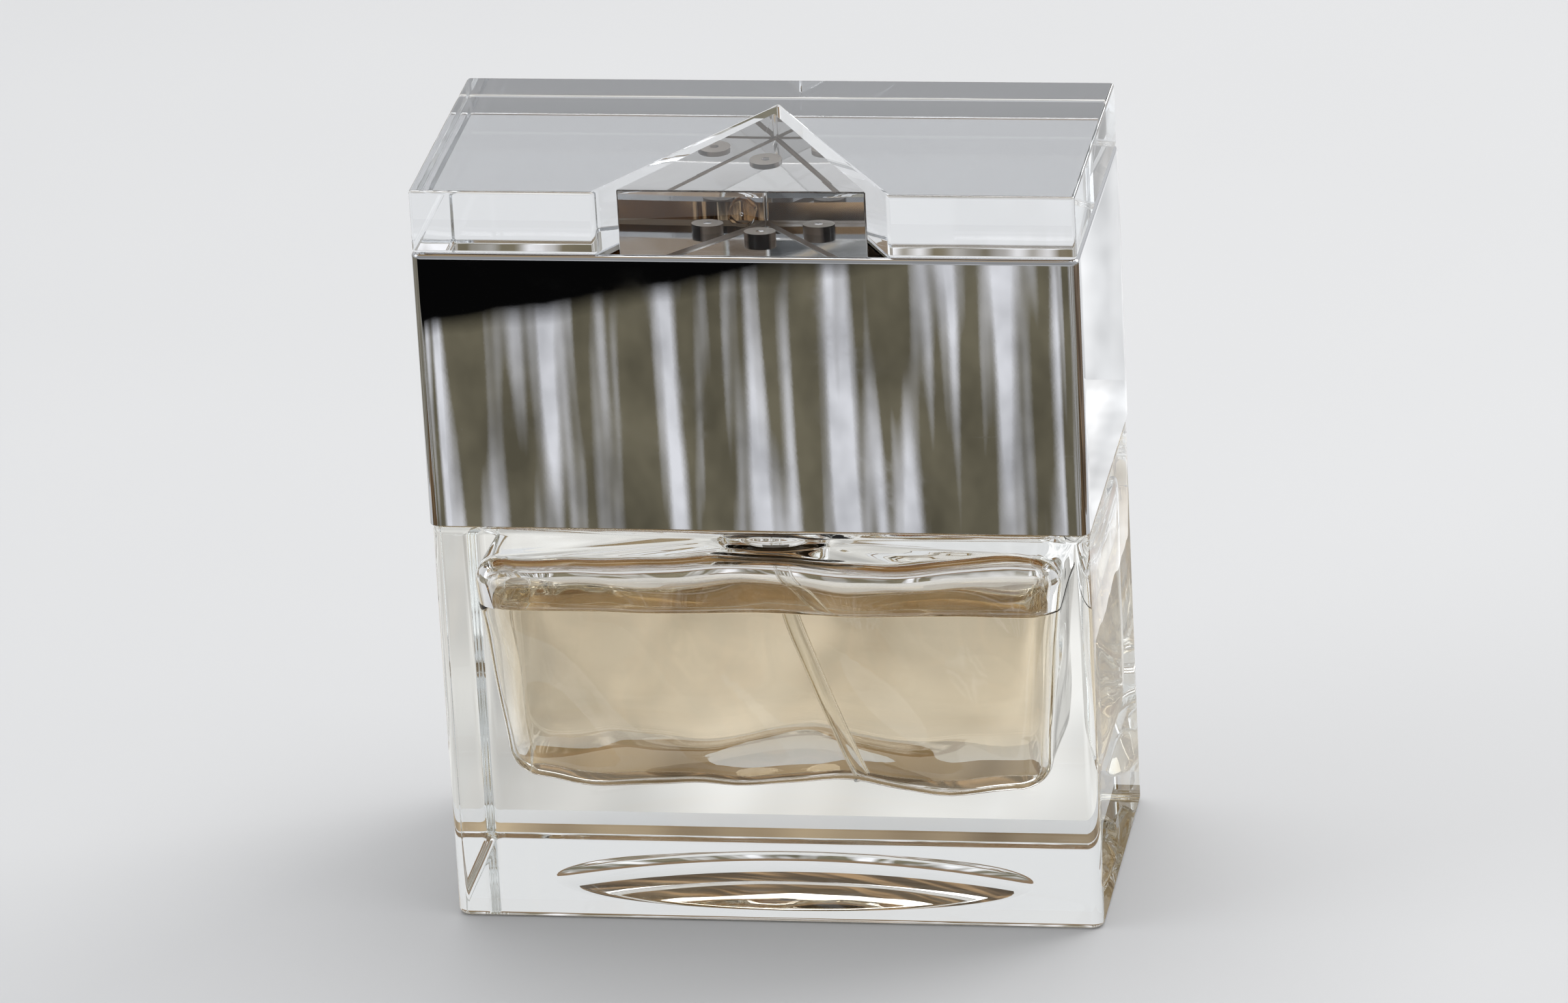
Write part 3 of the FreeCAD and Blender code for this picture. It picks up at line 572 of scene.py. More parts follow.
def rubber_material():
    """Black seal rubber with a dusty bloom."""
    nodes = Nodes("seal_rubber")
    bloom = nodes.noise(scale=420.0, detail=5.0, roughness=0.7)
    grain = nodes.noise(scale=1800.0, detail=3.0, roughness=0.6)
    nodes.set(
        Base_Color=nodes.mix(bloom, (0.022, 0.022, 0.024), (0.06, 0.06, 0.06)),
        Roughness=nodes.remap(bloom, 0.3, 0.7, 0.55, 0.8),
        Normal=nodes.bump(grain, strength=0.5, distance=0.03 * MM),
    )
    return nodes.material


def dress(piece, materials, body, slot_name, *replaced):
    """Gives a finished piece its materials, its body and the nodes it stands for."""
    piece.data.materials.clear()
    for material in materials:
        piece.data.materials.append(material)
    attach(piece, body)
    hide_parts(*replaced)


# ---------------------------------------------------------------- bottle and liquid


def wall_share(height):
    """How far up the inside a height is, from 0 at its floor to 1 at its ceiling."""
    return (height - FLOOR_HEIGHT) / (CEILING_HEIGHT - FLOOR_HEIGHT)


def cavity_half(height):
    """Half width and half depth of the bottle's inside at a height."""
    share = wall_share(height)
    side = SIDE_WALL[0] + (SIDE_WALL[1] - SIDE_WALL[0]) * share
    front = FRONT_WALL[0] + (FRONT_WALL[1] - FRONT_WALL[0]) * share
    return bottle_high.x - side, bottle_high.y - front


# Waves of the inside surface: length, heading, phase, and push, the lengths in millimetres.
WAVES = (
    (26.0, (1.0, 0.15, 0.3), 0.4, (0.00, 0.30, 0.34)),
    (15.0, (1.0, 0.40, -0.5), 2.1, (0.10, 0.20, 0.20)),
    (9.5, (0.8, -0.50, 0.9), 4.0, (0.08, 0.11, 0.10)),
    (19.0, (0.2, 1.00, 0.9), 1.2, (0.20, 0.16, 0.12)),
    (6.0, (1.0, 0.30, 0.5), 5.2, (0.03, 0.04, 0.04)),
)
FLOOR_RISE = 1.5 * MM
FLOOR_RISE_FADE = 1.5 * MM
FLOOR_RISE_HALF = (24 * MM, 10 * MM)


def blown(point):
    """Moves a point of the inside surface as hand-blown glass would: slow waves, a risen floor."""
    moved = point.copy()
    for length, heading, phase, push in WAVES:
        along = point.dot(Vector(heading).normalized()) / (length * MM)
        moved += Vector(push) * MM * math.sin(2 * math.pi * along + phase)
    reach = (point.x / FLOOR_RISE_HALF[0]) ** 2 + (point.y / FLOOR_RISE_HALF[1]) ** 2
    near_floor = max(0.0, 1 - (point.z - FLOOR_HEIGHT) / FLOOR_RISE_FADE)
    moved.z += FLOOR_RISE * max(0.0, 1 - reach) ** 2 * near_floor
    return moved


def blown_ring(half_x, half_y, radius, height, grow):
    """One ring of the inside surface, grown outward into the glass by a small amount."""
    plain = outline(half_x, half_y, radius)
    wide = outline(half_x + grow, half_y + grow, radius + grow)
    ring = []
    for near, far in zip(plain, wide):
        base = Vector((near.x, near.y, height))
        ring.append(blown(base) + Vector((far.x - near.x, far.y - near.y, 0)))
    return ring


def cavity_edge_ring(height, inset, grow):
    """The ring of the inside surface at a height, drawn in where its edges are rounded."""
    half_x, half_y = cavity_half(height)
    return blown_ring(half_x - inset, half_y - inset, CAVITY_CORNER - inset, height, grow)


def inside_rings(top, grow=0.0):
    """The inside surface from the middle of the floor up the walls to a height."""
    half_x, half_y = cavity_half(FLOOR_HEIGHT)
    rings = []
    for share in shares(16, 0.02, 1.0):
        flat_x, flat_y = (half_x - CAVITY_EDGE) * share, (half_y - CAVITY_EDGE) * share
        radius = (CAVITY_CORNER - CAVITY_EDGE) * share
        rings.append(blown_ring(flat_x, flat_y, radius, FLOOR_HEIGHT, 0.0))
    for rise, inset in quarter_turn(CAVITY_EDGE, *CAVITY_EDGE_STEPS):
        sideways = grow * (1 - inset / CAVITY_EDGE)
        rings.append(cavity_edge_ring(FLOOR_HEIGHT + rise, inset, sideways))
    for ring in rings:
        for point in ring:
            point.z -= grow
    foot = FLOOR_HEIGHT + CAVITY_EDGE
    for share in shares(26)[1:]:
        rings.append(cavity_edge_ring(foot + (top - foot) * share, 0.0, grow))
    return rings


def ceiling_rings(like):
    """Round the top edge of the inside, across its ceiling and into the mouth of the bore."""
    rings = []
    for inset, drop in quarter_turn(CAVITY_EDGE, *CAVITY_EDGE_STEPS):
        rings.append(cavity_edge_ring(CEILING_HEIGHT - drop, inset, 0.0))
    edge = rings[-1]
    mouth = oval(BORE_RADIUS, BORE_RADIUS, like)
    wide_mouth = scaled(mouth, MOUTH_FLARE, CEILING_HEIGHT)
    rings += [between(edge, wide_mouth, share) for share in shares(12)[1:]]
    rings.append(scaled(mouth, MOUTH_THROAT, CEILING_HEIGHT + MOUTH_THROAT_RISE))
    return rings


def neck_rings(like):
    """From the cavity's ceiling up the bore, over the lip and the bead, down to the shoulder."""
    top = bottle_high.z
    bead_foot = top - BEAD_HEIGHT
    round_off, round_near = 0.5 * MM, 0.15 * MM
    fillet, fillet_near = 0.6 * MM, 0.2 * MM
    profile = [
        (BORE_RADIUS, CEILING_HEIGHT + 1.2 * MM),
        (BORE_RADIUS, SHOULDER),
        (BORE_RADIUS, top - round_off),
        (BORE_RADIUS + round_near, top - round_near),
        (BORE_RADIUS + round_off, top),
        (BEAD_RADIUS - round_off, top),
        (BEAD_RADIUS - round_near, top - round_near),
        (BEAD_RADIUS, top - round_off),
        (BEAD_RADIUS, bead_foot + round_off),
        (BEAD_RADIUS - round_near, bead_foot + 0.1 * MM),
        (NECK_RADIUS, bead_foot - fillet),
        (NECK_RADIUS, SHOULDER + fillet),
        (NECK_RADIUS + fillet_near, SHOULDER + fillet_near),
        (NECK_RADIUS + fillet, SHOULDER),
    ]
    return [at_height(oval(radius, radius, like), height) for radius, height in profile]


def outside_rings(neck_foot, like):
    """From the neck across the shoulder, down the outside and under the base into its hollow."""
    full = bottle_high.x, bottle_high.y, BOTTLE_CORNER
    rim = drawn_in(*full, BOTTLE_EDGE, SHOULDER)
    rings = [between(neck_foot, rim, share) for share in (0.3, 0.7, 0.97, 1.0)]
    for drop, inset in quarter_turn(BOTTLE_EDGE, 6, 15, 90):
        rings.append(drawn_in(*full, inset, SHOULDER - drop))
    for height in (SHOULDER - BOTTLE_EDGE - EDGE_HOLD, BOTTLE_EDGE + EDGE_HOLD):
        rings.append(drawn_in(*full, 0.0, height))
    for inset, rise in quarter_turn(BOTTLE_EDGE, 6, 0, 75):
        rings.append(drawn_in(*full, inset, rise))
    foot = drawn_in(*full, BOTTLE_EDGE, 0.0)
    hollow = at_height(oval(*PUNT_HALF, like), 0.0)
    rings.append(foot)
    rings += [between(foot, hollow, share) for share in (0.03, 0.5, 0.95, 1.0)]
    for share in shares(14, 0.96, 0.03):
        rings.append(scaled(hollow, share, PUNT_DEPTH * (1 - share**2)))
    return rings


def glass_bottle_piece():
    """One skin: inside floor, walls, ceiling, bore, bead, shoulder, outside, base and hollow."""
    half_x, half_y = cavity_half(CEILING_HEIGHT)
    like = outline(half_x, half_y, CAVITY_CORNER)
    rings = inside_rings(CEILING_HEIGHT - CAVITY_EDGE)
    rings += ceiling_rings(like)
    rings += neck_rings(like)
    rings += outside_rings(rings[-1], like)
    piece = smooth(loft("bottle_glass", rings), 60)
    dress(piece, [glass_material()], "bottle_and_cover", "clear_glass", "glass_bottle")


def liquid_piece():
    """The liquid fills the inside exactly; its skin reaches a hair into the glass, so that light
    passes from glass to liquid with no film of air between."""
    level = liquid_high.z
    rings = inside_rings(level + MENISCUS_HEIGHT, LIQUID_OVERLAP)
    half_x, half_y = cavity_half(level)
    for inset in MENISCUS_INSETS:
        height = level + MENISCUS_HEIGHT * math.exp(-inset / MENISCUS_REACH)
        inner = half_x - inset, half_y - inset, CAVITY_CORNER - inset
        rings.append(at_height(blown_ring(*inner, height, LIQUID_OVERLAP), height))
    piece = smooth(loft("fragrance_body", rings), 70)
    dress(piece, [liquid_material()], "bottle_and_cover", "fragrance", "fragrance_liquid")


# ---------------------------------------------------------------- dip tube

TUBE_RADIUS = 0.8 * MM
TUBE_BORE_RADIUS = 0.55 * MM
TUBE_BEND_HEIGHT = 29.0 * MM
TUBE_BEND_RADIUS = 14.0 * MM
TUBE_STEPS = 24
TUBE_END = Vector((8.0, -8.6, 13.4)) * MM


def tube_path():
    """Points down the tube: a straight top, one bend, and a straight run to the corner."""
    reach = math.hypot(TUBE_END.x, TUBE_END.y)
    lean = math.atan2(reach, TUBE_BEND_HEIGHT - TUBE_END.z)
    bend_top = TUBE_BEND_HEIGHT + TUBE_BEND_RADIUS * math.tan(lean / 2)
    start, bend, end = Vector((0, tube_high.z)), Vector((0, bend_top)), Vector((reach, TUBE_END.z))
    flat = [start.lerp(bend, share) for share in shares(6)]
    for turn in shares(17, 0, lean)[1:]:
        out = TUBE_BEND_RADIUS * (1 - math.cos(turn))
        flat.append(Vector((out, bend_top - TUBE_BEND_RADIUS * math.sin(turn))))
    last = flat[-1]
    flat += [last.lerp(end, share) for share in shares(24)[1:]]
    heading = Vector((TUBE_END.x, TUBE_END.y)).normalized()
    return [Vector((heading.x * p.x, heading.y * p.x, p.y)) for p in flat]


def swept_rings(path, radius, steps):
    """Rings of a round section along a path."""
    rings = []
    side = Vector((1, 0, 0))
    for i, point in enumerate(path):
        ahead = path[min(i + 1, len(path) - 1)] - path[max(i - 1, 0)]
        ahead.normalize()
        side = (side - ahead * side.dot(ahead)).normalized()
        other = ahead.cross(side)
        ring = []
        for step in range(steps):
            angle = 2 * math.pi * step / steps
            ring.append(point + (side * math.cos(angle) + other * math.sin(angle)) * radius)
        rings.append(ring)
    return rings


def dip_tube_piece():
    """The tube's outside down its path and its bore back up, joined at both ends."""
    path = tube_path()
    outer = swept_rings(path, TUBE_RADIUS, TUBE_STEPS)
    inner = swept_rings(path, TUBE_BORE_RADIUS, TUBE_STEPS)
    piece = smooth(loft("dip_tube_clear", outer + inner[::-1], ends="joined"), 50)
    dress(piece, [tube_material()], "bottle_and_cover", "clear_plastic", "dip_tube")


# ---------------------------------------------------------------- cover, block and button


def button_plan(gap, front):
    """The wedge's plan: the button's own triangle, or the notch round it with an even gap."""
    apex = button_high.y + gap * 2
    half = (apex - front) / SQRT3
    return [(-half, front), (half, front), (0, apex)]


def button_ring(inset, height):
    """The button's outline with rounded corners, drawn in evenly by an inset."""
    corners = button_plan(0.0, button_low.y)
    middle = Vector((0, sum(y for _, y in corners) / 3))
    radius = max(BUTTON_BEVEL - inset, SNUG)
    ring = []
    for corner in corners:
        outward = (Vector(corner) - middle).normalized()
        centre = Vector(corner) - outward * 2 * (inset + radius)
        facing = math.atan2(outward.y, outward.x)
        for turn in shares(4, -60, 60):
            angle = facing + math.radians(turn)
            ring.append(centre + Vector((math.cos(angle), math.sin(angle))) * radius)
    return at_height(ring, height)


def chrome_cover_piece():
    """The thin cover: inside top, inside walls, rim, outside walls, rounded lip and top plate."""
    foot, top = cover_low.z, cover_high.z
    full = cover_high.x, cover_high.y, COVER_CORNER
    rings = [
        drawn_in(*full, COVER_WALL, top - COVER_WALL),
        drawn_in(*full, COVER_WALL, foot + EDGE_HOLD),
        drawn_in(*full, COVER_WALL - EDGE_HOLD, foot),
        drawn_in(*full, EDGE_HOLD, foot),
        drawn_in(*full, 0.0, foot + EDGE_HOLD),
        drawn_in(*full, 0.0, top - COVER_LIP - 0.05 * MM),
    ]
    for inset, drop in quarter_turn(COVER_LIP, 8, 0, 90):
        rings.append(drawn_in(*full, inset, top - drop))
    piece = loft("cover_chrome", rings, ends="flat")
    notch_plan = button_plan(BUTTON_GAP, -cover_high.y + COVER_WALL)
    notch = prism_solid("notch_tool", notch_plan, top - COVER_WALL * 3, top + COVER_WALL)
    cut(piece, [notch])
    smooth(piece, 35)
    dress(piece, [chrome_material()], "bottle_and_cover", "mirror_chrome", "chrome_cover")


def acrylic_block_piece(acrylic):
    """The polished block; a film of air parts it from the mirror plate under it."""
    right, back = block_high.x, block_high.y
    notch_left, notch_right, notch_apex = button_plan(BUTTON_GAP, -back)
    plan = [
        (-right, -back),
        notch_left,
        notch_apex,
        notch_right,
        (right, -back),
        (right, back),
        (-right, back),
    ]
    foot = cover_high.z + AIR_GAP
    piece = prism_solid("block_acrylic", plan, foot, block_high.z, BLOCK_BEVEL)
    smooth(piece, 35)
    dress(piece, [acrylic], "bottle_and_cover", "clear_acrylic", "acrylic_block")


def button_piece(acrylic):
    """The clear prism with its seats; the core and the nozzle sit snugly, with no air round them.
    Its underside is silvered, and the chamfer round that carries painted shade, a dark taupe coat."""
    front = button_low.y
    foot, top = button_low.z + AIR_GAP, button_high.z
    rings = [
        button_ring(BUTTON_FOOT_BEVEL, foot),
        button_ring(0.0, foot + BUTTON_FOOT_BEVEL),
        button_ring(0.0, top - BUTTON_BEVEL),
    ]
    for inset, drop in quarter_turn(BUTTON_BEVEL, 3, 0, 90)[1:]:
        rings.append(button_ring(inset, top - drop))
    piece = loft("button_clear", rings)
    seat_foot = Vector((0, 0, button_low.z - MM))
    seat_top = Vector((0, 0, core_high.z - SNUG))
    level = (nozzle_low.z + nozzle_high.z) / 2
    orifice_mouth = Vector((0, front - MM, level))
    orifice_end = Vector((0, front + ORIFICE_DEPTH, level))
    seat = rod_solid("seat_tool", seat_foot, seat_top, PEG_RADIUS - SNUG, 48)
    orifice = rod_solid("orifice_tool", orifice_mouth, orifice_end, ORIFICE_RADIUS, 24)
    cut(piece, [seat, orifice])
    smooth(piece, 35)
    silvering = metal_material(
        "button_silvering",
        dark=(0.70, 0.70, 0.70),
        light=(0.84, 0.84, 0.84),
        roughness=(0.03, 0.09),
        streaks=(60, 60, 60),
        height=0.01 * MM,
    )
    # painted shade: a dark taupe coat on the chamfer round the foot, so its edges read as dark
    # lines
    painted_shade_edge = plastic_material(
        "button_edge_painted_shade",
        dark=(0.14, 0.11, 0.085),
        light=(0.26, 0.21, 0.17),
        roughness=(0.1, 0.3),
        grain_scale=700.0,
        grain_height=0.01 * MM,
    )
    dress(piece, [acrylic, silvering, painted_shade_edge], "button", "clear_acrylic", "button_prism")
    for polygon in piece.data.polygons:
        middle = polygon.center
        if middle.z < foot + SNUG / 2:
            polygon.material_index = 1
        # slot 2 is the chamfer round the foot, which carries the painted shade
        elif middle.z < foot + BUTTON_FOOT_BEVEL and middle.xy.length >= PEG_RADIUS:
            polygon.material_index = 2


def nozzle_piece():
    """A small clear plug just under the button's face, behind the fine orifice. It lies wholly in
    the clear button, so its index is the one against the acrylic."""
    radius = (nozzle_high.z - nozzle_low.z) / 2
    length = nozzle_high.y - nozzle_low.y - SNUG
    round_off = 0.12 * MM
    profile = [
        (OFF_AXIS, 0),
        (radius - round_off, 0),
        (radius, round_off),
        (radius, length - round_off),
        (radius - round_off, length),
        (OFF_AXIS, length),
    ]
    piece = turned("nozzle_cup", profile)
    piece.data.transform(Matrix.Rotation(math.radians(90), 4, "X"))
    level = (nozzle_low.z + nozzle_high.z) / 2
    piece.data.transform(Matrix.Translation((0, nozzle_high.y, level)))
    smooth(piece, 40)
    nodes = Nodes("clear_plastic")
    haze = nodes.noise(scale=900.0, detail=3.0, roughness=0.5)
    nodes.set(
        Base_Color=(0.99, 0.99, 0.99),
        IOR=1.004,
        Transmission_Weight=1.0,
        Roughness=nodes.remap(haze, 0.3, 0.7, 0.0, 0.004),
        Normal=nodes.bump(haze, strength=0.1, distance=0.002 * MM),
    )
    dress(piece, [nodes.material], "button", "clear_plastic", "nozzle_insert")


# ---------------------------------------------------------------- springs

COIL_TURN_STEPS = 36
COIL_SECTION_STEPS = 12


def coil_piece(name, low, high, turns, wire_radius):
    """A compression spring with its end turns closed, between a low and a high corner."""
    coil_radius = high.x - wire_radius
    foot, top = low.z + wire_radius, high.z - wire_radius
    end_rise = 2.1 * wire_radius
    path = []
    steps = turns * COIL_TURN_STEPS
    for i in range(steps + 1):
        turn = turns * i / steps
        if turn < 1:
            rise = end_rise * turn
        elif turn > turns - 1:
            rise = (top - foot) - end_rise * (turns - turn)
        else:
            rise = end_rise + (top - foot - 2 * end_rise) * (turn - 1) / (turns - 2)
        angle = 2 * math.pi * turn
        x, y = coil_radius * math.cos(angle), coil_radius * math.sin(angle)
        path.append(Vector((x, y, foot + rise)))
    return smooth(loft(name, swept_rings(path, wire_radius, COIL_SECTION_STEPS)), 60)


# Each spring: piece, node, turns, wire radius, body, joint, and how much it shortens there, the
# two lengths in millimetres.
SPRINGS = (
    ("return_coil", "return_spring", 7, 0.2, "bottle_and_cover", "button_press", 3.0),
    ("precompression_coil", "precompression_spring", 4, 0.15, "pump_piston", "piston_slide", 0.45),
)


def springs(steel):
    """The two springs, each coiled to fill its node's box and carried by its body."""
    for name, node, turns, wire, body, joint, shortening in SPRINGS:
        low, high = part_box(node)
        coil = coil_piece(name, low, high, turns, wire * MM)
        dress(coil, [steel], body, "spring_steel", node)
        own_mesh(coil)


# ---------------------------------------------------------------- carried CAD nodes


def finish_nodes(steel):
    """Gives their materials to the nodes that are shown in their CAD shape."""
    natural = plastic_material(
        "natural_plastic",
        dark=(0.74, 0.75, 0.74),
        light=(0.86, 0.86, 0.84),
        roughness=(0.28, 0.45),
        grain_scale=900.0,
        grain_height=0.02 * MM,
        see_through=0.25,
    )
    collar = metal_material(
        "collar_metallised",
        dark=(0.87, 0.73, 0.57),
        light=(0.95, 0.83, 0.69),
        roughness=(0.05, 0.14),
        streaks=(70, 70, 70),
        height=0.01 * MM,
    )
    ferrule = metal_material(
        "ferrule_metal",
        dark=(0.62, 0.63, 0.64),
        light=(0.82, 0.83, 0.84),
        roughness=(0.18, 0.35),
        streaks=(60, 60, 4000),
        height=0.01 * MM,
    )
    finishes = (
        (natural, ("pump_housing", "valve_rod", "piston", "pump_stem", "turret")),
        (collar, ("snap_collar",)),
        (core_material(), ("actuator_core",)),
        (ferrule, ("crimp_ferrule",)),
        (rubber_material(), ("neck_gasket", "stem_seal")),
        (steel, ("inlet_ball",)),
    )
    for material, names in finishes:
        for name in names:
            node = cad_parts[name]
            node.data.materials.clear()
            node.data.materials.append(material)
            for polygon in node.data.polygons:
                polygon.material_index = 0


# ---------------------------------------------------------------- stage, light and camera


def flat_panel(name, width, height, place, facing, material):
    """A flat panel of the stage, its face turned towards a direction."""
    bm = bmesh.new()
    bmesh.ops.create_grid(bm, x_segments=1, y_segments=1, size=0.5)
    bmesh.ops.scale(bm, vec=(width, height, 1), verts=bm.verts)
    panel = new_object(name, bm)
    panel.rotation_mode = "QUATERNION"
    panel.rotation_quaternion = Vector(facing).to_track_quat("Z", "Y")
    panel.location = place
    panel.data.materials.append(material)
    panel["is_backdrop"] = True
    return panel


def floor_material():
    """A matt pale table that mirrors nothing."""
    nodes = Nodes("pale_floor")
    tone = nodes.noise(scale=6.0, detail=3.0, roughness=0.5)
    nodes.set(
        Base_Color=nodes.mix(tone, (0.60, 0.603, 0.61), (0.66, 0.663, 0.67)),
        Roughness=0.75,
        IOR=1.45,
        Specular_IOR_Level=0.0,
    )
    return nodes.material


CARD_SWAY = 4 * MM


def card_material(name, dark, light, streaks, spread, shade=(0, 0, 0), fade=(1.0, 2.0, 0.0)):
    """A softly lit studio card: upright streaks of two tones, and a shade that comes down from its
    top. The fade is where the shade starts and ends, up from the middle, and its slope along X."""
    nodes = Nodes(name)
    nodes.tree.nodes.remove(nodes.shader)
    glow = nodes.add("ShaderNodeEmission")
    nodes.put(glow.outputs[0], nodes.output.inputs["Surface"])
    pattern = nodes.noise(1.0, 2.0, 0.55, nodes.stretched((streaks, streaks * 0.05, 1.0)))
    body = nodes.mix(nodes.remap(pattern, *spread), dark, light)
    soft = nodes.noise(1.0, 3.0, 0.6, nodes.stretched((streaks * 0.5, streaks * 0.3, 1.0)))
    body = nodes.mix(1.0, body, nodes.remap(soft, 0.35, 0.65, 0.72, 1.25), blend="MULTIPLY")
    start, end, slope = fade
    across, up = nodes.split(nodes.place, "X"), nodes.split(nodes.place, "Y")
    sloped = nodes.math("MULTIPLY_ADD", across, -slope, up)
    sway = nodes.noise(scale=90.0, detail=2.0, roughness=0.5)
    edge = nodes.math("MULTIPLY_ADD", sway, CARD_SWAY, sloped)
    shaded = nodes.mix(nodes.remap(edge, start, end), body, shade)
    nodes.put(shaded, glow.inputs["Color"])
    return nodes.material


def studio_card(name, width, height, place, facing, material):
    """A card that shows only in reflections and through glass, and lights nothing."""
    card = flat_panel(name, width, height, place, facing, material)
    card.visible_camera = False
    card.visible_diffuse = False
    card.visible_shadow = False
    card.visible_volume_scatter = False
    return card


LIGHT_TARGET = Vector((0, 0, 0.03))


def area_light(name, place, width, height, power, colour):
    """A rectangular light aimed at the object."""
    data = bpy.data.lights.new(name, "AREA")
    data.shape = "RECTANGLE"
    data.size = width
    data.size_y = height
    data.energy = power
    data.color = colour
    light = bpy.data.objects.new(name, data)
    light.location = place
    light.rotation_mode = "QUATERNION"
    light.rotation_quaternion = (Vector(place) - LIGHT_TARGET).to_track_quat("Z", "Y")
    bpy.context.scene.collection.objects.link(light)
    return light


# The studio's brightness, and where along the way from front to back it starts and ends.
WORLD_COLOUR = (0.985, 0.99, 1.0)
WORLD_SPAN = (-1.0, 0.9)
WORLD_STRENGTH = (0.38, 0.80)


def world_light():
    """A pale studio all round: brightest behind the object, dimmer towards the front."""
    world = bpy.data.worlds.new("studio")
    bpy.context.scene.world = world
    world.use_nodes = True
    tree = world.node_tree
    where = tree.nodes.new("ShaderNodeTexCoord")
    split = tree.nodes.new("ShaderNodeSeparateXYZ")
    ramp = tree.nodes.new("ShaderNodeMapRange")
    for socket, number in zip(ramp.inputs[1:], (*WORLD_SPAN, *WORLD_STRENGTH)):
        socket.default_value = number
    tree.links.new(where.outputs["Generated"], split.inputs[0])
    tree.links.new(split.outputs["Y"], ramp.inputs[0])
    back = tree.nodes["Background"]
    back.inputs["Color"].default_value = (*WORLD_COLOUR, 1)
    tree.links.new(ramp.outputs[0], back.inputs["Strength"])


UP = (0, 0, 1)
TO_BACK = (0, 1, 0)
TO_FRONT = (0, -1, 0)

BROWN = (0.085, 0.058, 0.034)
COPPER = (0.40, 0.26, 0.14)
OLIVE = (0.19, 0.17, 0.115)
PALE = (0.95, 0.95, 0.98)
BLACK = (0.003, 0.003, 0.003)


# Two tones, streaks per metre, the noise range they spread over, and a shade where there is one.
CARD_LOOKS = {
    "front_card": (OLIVE, PALE, 230.0, (0.48, 0.60), BLACK, (0.0150, 0.0175, -0.17)),
    "warm_card": (BROWN, COPPER, 120.0, (0.48, 0.62)),
    "rear_card": (OLIVE, PALE, 150.0, (0.46, 0.60), (0.24, 0.155, 0.085), (0.004, 0.012, 0.0)),
    "high_card": (BROWN, COPPER, 30.0, (0.48, 0.62)),
    "under_card": ((0.155, 0.105, 0.055), (0.46, 0.355, 0.225), 45.0, (0.40, 0.62)),
    "amber_card": ((0.36, 0.26, 0.15), (0.60, 0.47, 0.31), 30.0, (0.42, 0.62)),
    "white_card": ((0.92, 0.93, 0.94), (1.2, 1.2, 1.2), 160.0, (0.4, 0.6)),
    "taupe_card": ((0.13, 0.092, 0.063), (0.29, 0.22, 0.16), 60.0, (0.4, 0.62)),
    "side_card": (OLIVE, (0.5, 0.47, 0.42), 150.0, (0.46, 0.60)),
    "soft_card": ((0.60, 0.585, 0.555), (0.84, 0.83, 0.81), 40.0, (0.38, 0.66)),
}

# Name, look, width, height, place, and the direction that each card faces.
CARDS = (
    ("card_front", "front_card", 0.30, 0.036, (0.0, -0.105, 0.018), TO_BACK),
    ("card_foot", "warm_card", 0.30, 0.13, (0.0, -0.100, 0.3 * MM), UP),
    ("card_back", "rear_card", 0.235, 0.040, (-0.0825, 0.12, 0.028), TO_FRONT),
    ("card_high", "high_card", 0.40, 0.20, (-0.08, 0.26, 0.42), (0.08, -0.26, -0.40)),
    ("card_under", "under_card", 0.068, 0.0366, (0.0, -0.7 * MM, -0.01 * MM), UP),
    ("card_front_high", "amber_card", 0.34, 0.24, (-0.167, -0.140, 0.444), (0.167, 0.14, -0.40)),
    ("card_right_back", "white_card", 0.035, 0.060, (0.0575, 0.12, 0.030), TO_FRONT),
    ("card_right_floor", "white_card", 0.035, 0.12, (0.0575, 0.06, 0.3 * MM), UP),
    ("card_far_right", "taupe_card", 0.10, 0.32, (0.18, 0.0, 0.3 * MM), UP),
    ("card_left", "side_card", 0.18, 0.05, (-0.125, -0.03, 0.030), (1, 0, 0)),
    ("card_right", "side_card", 0.22, 0.05, (0.19, 0.02, 0.030), (-1, 0, 0)),
    ("card_behind", "soft_card", 0.16, 0.090, (-0.04, 0.065, 0.3 * MM), UP),
)

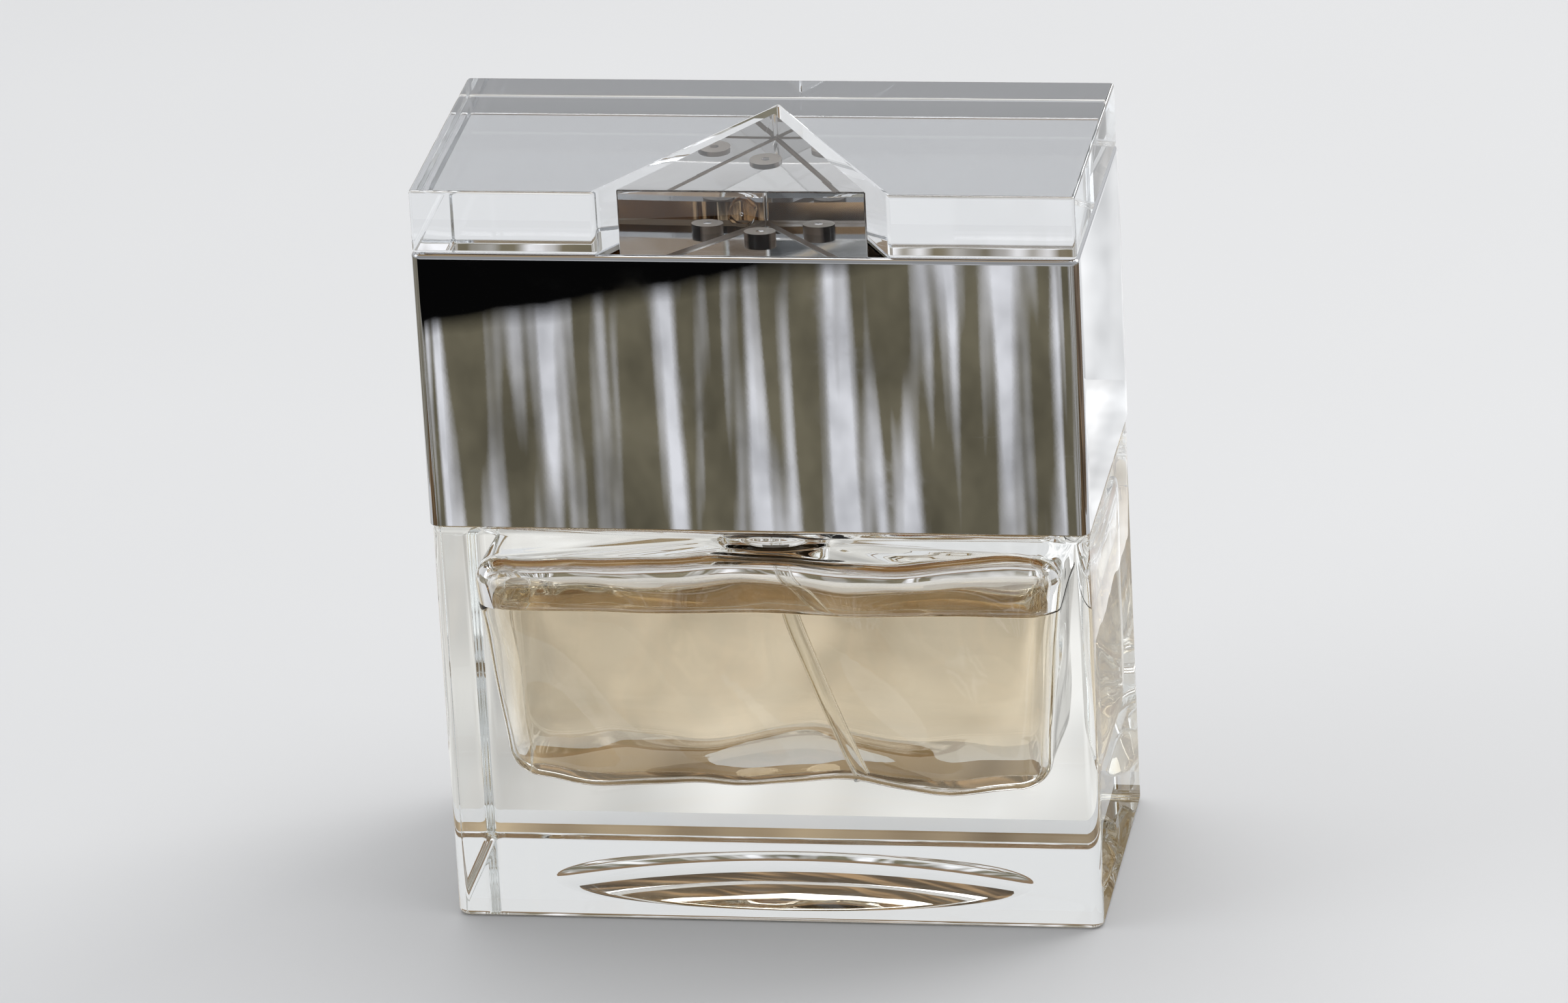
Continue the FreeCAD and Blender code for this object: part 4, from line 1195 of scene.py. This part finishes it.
# Name, place, width, height, power and colour; the last says whether it shows through glass.
LIGHTS = (
    ("overhead", (0.05, 0.15, 0.75), 0.7, 0.5, 3.2, (1, 1, 1), True),
    ("left_fill", (-0.7, -0.25, 0.5), 0.5, 0.6, 1.2, (0.95, 0.98, 1.0), True),
    ("right_back", (0.6, 0.5, 0.45), 0.5, 0.5, 2.2, (1.0, 0.99, 0.97), False),
)


def stage_and_lights():
    """The floor, the cards that the chrome and the glass mirror, the lights and the studio."""
    flat_panel("floor", 6.0, 6.0, (0, 0, -0.02 * MM), UP, floor_material())
    looks = {name: card_material(name, *look) for name, look in CARD_LOOKS.items()}
    for name, look, *placing in CARDS:
        studio_card(name, *placing, looks[look])
    for name, *settings, through_glass in LIGHTS:
        light = area_light(name, *settings)
        light.visible_transmission = through_glass
    world_light()


CAMERA_PLACE = Vector((0.143, -0.804, 0.382))
CAMERA_ROLL = math.radians(-3.1)
CAMERA_LENS = 215.0
SENSOR_WIDTH = 36.0


def camera():
    """The photograph's viewing angle and distance, framed on the object with a longer lens."""
    low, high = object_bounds()
    data = bpy.data.cameras.new("camera")
    data.lens = CAMERA_LENS
    data.sensor_width = SENSOR_WIDTH
    view = bpy.data.objects.new("camera", data)
    bpy.context.scene.collection.objects.link(view)
    view.location = CAMERA_PLACE
    look = (Vector(low) + Vector(high)) / 2 - CAMERA_PLACE
    view.rotation_mode = "QUATERNION"
    upright = look.to_track_quat("-Z", "Y")
    view.rotation_quaternion = upright @ Matrix.Rotation(CAMERA_ROLL, 3, "Z").to_quaternion()
    bpy.context.scene.camera = view


def light_paths():
    """Plain tones, and enough bounces for light to pass through glass, liquid and acrylic."""
    scene = bpy.context.scene
    scene.view_settings.view_transform = "Standard"
    scene.cycles.max_bounces = 32
    scene.cycles.transmission_bounces = 28
    scene.cycles.glossy_bounces = 16


def main():
    """Builds the stage and every piece."""
    camera()
    stage_and_lights()
    steel = metal_material(
        "spring_steel",
        dark=(0.42, 0.43, 0.44),
        light=(0.66, 0.67, 0.68),
        roughness=(0.16, 0.32),
        streaks=(900, 900, 3000),
        height=0.006 * MM,
    )
    acrylic = acrylic_material()
    glass_bottle_piece()
    liquid_piece()
    dip_tube_piece()
    chrome_cover_piece()
    acrylic_block_piece(acrylic)
    button_piece(acrylic)
    nozzle_piece()
    springs(steel)
    finish_nodes(steel)
    light_paths()


main()
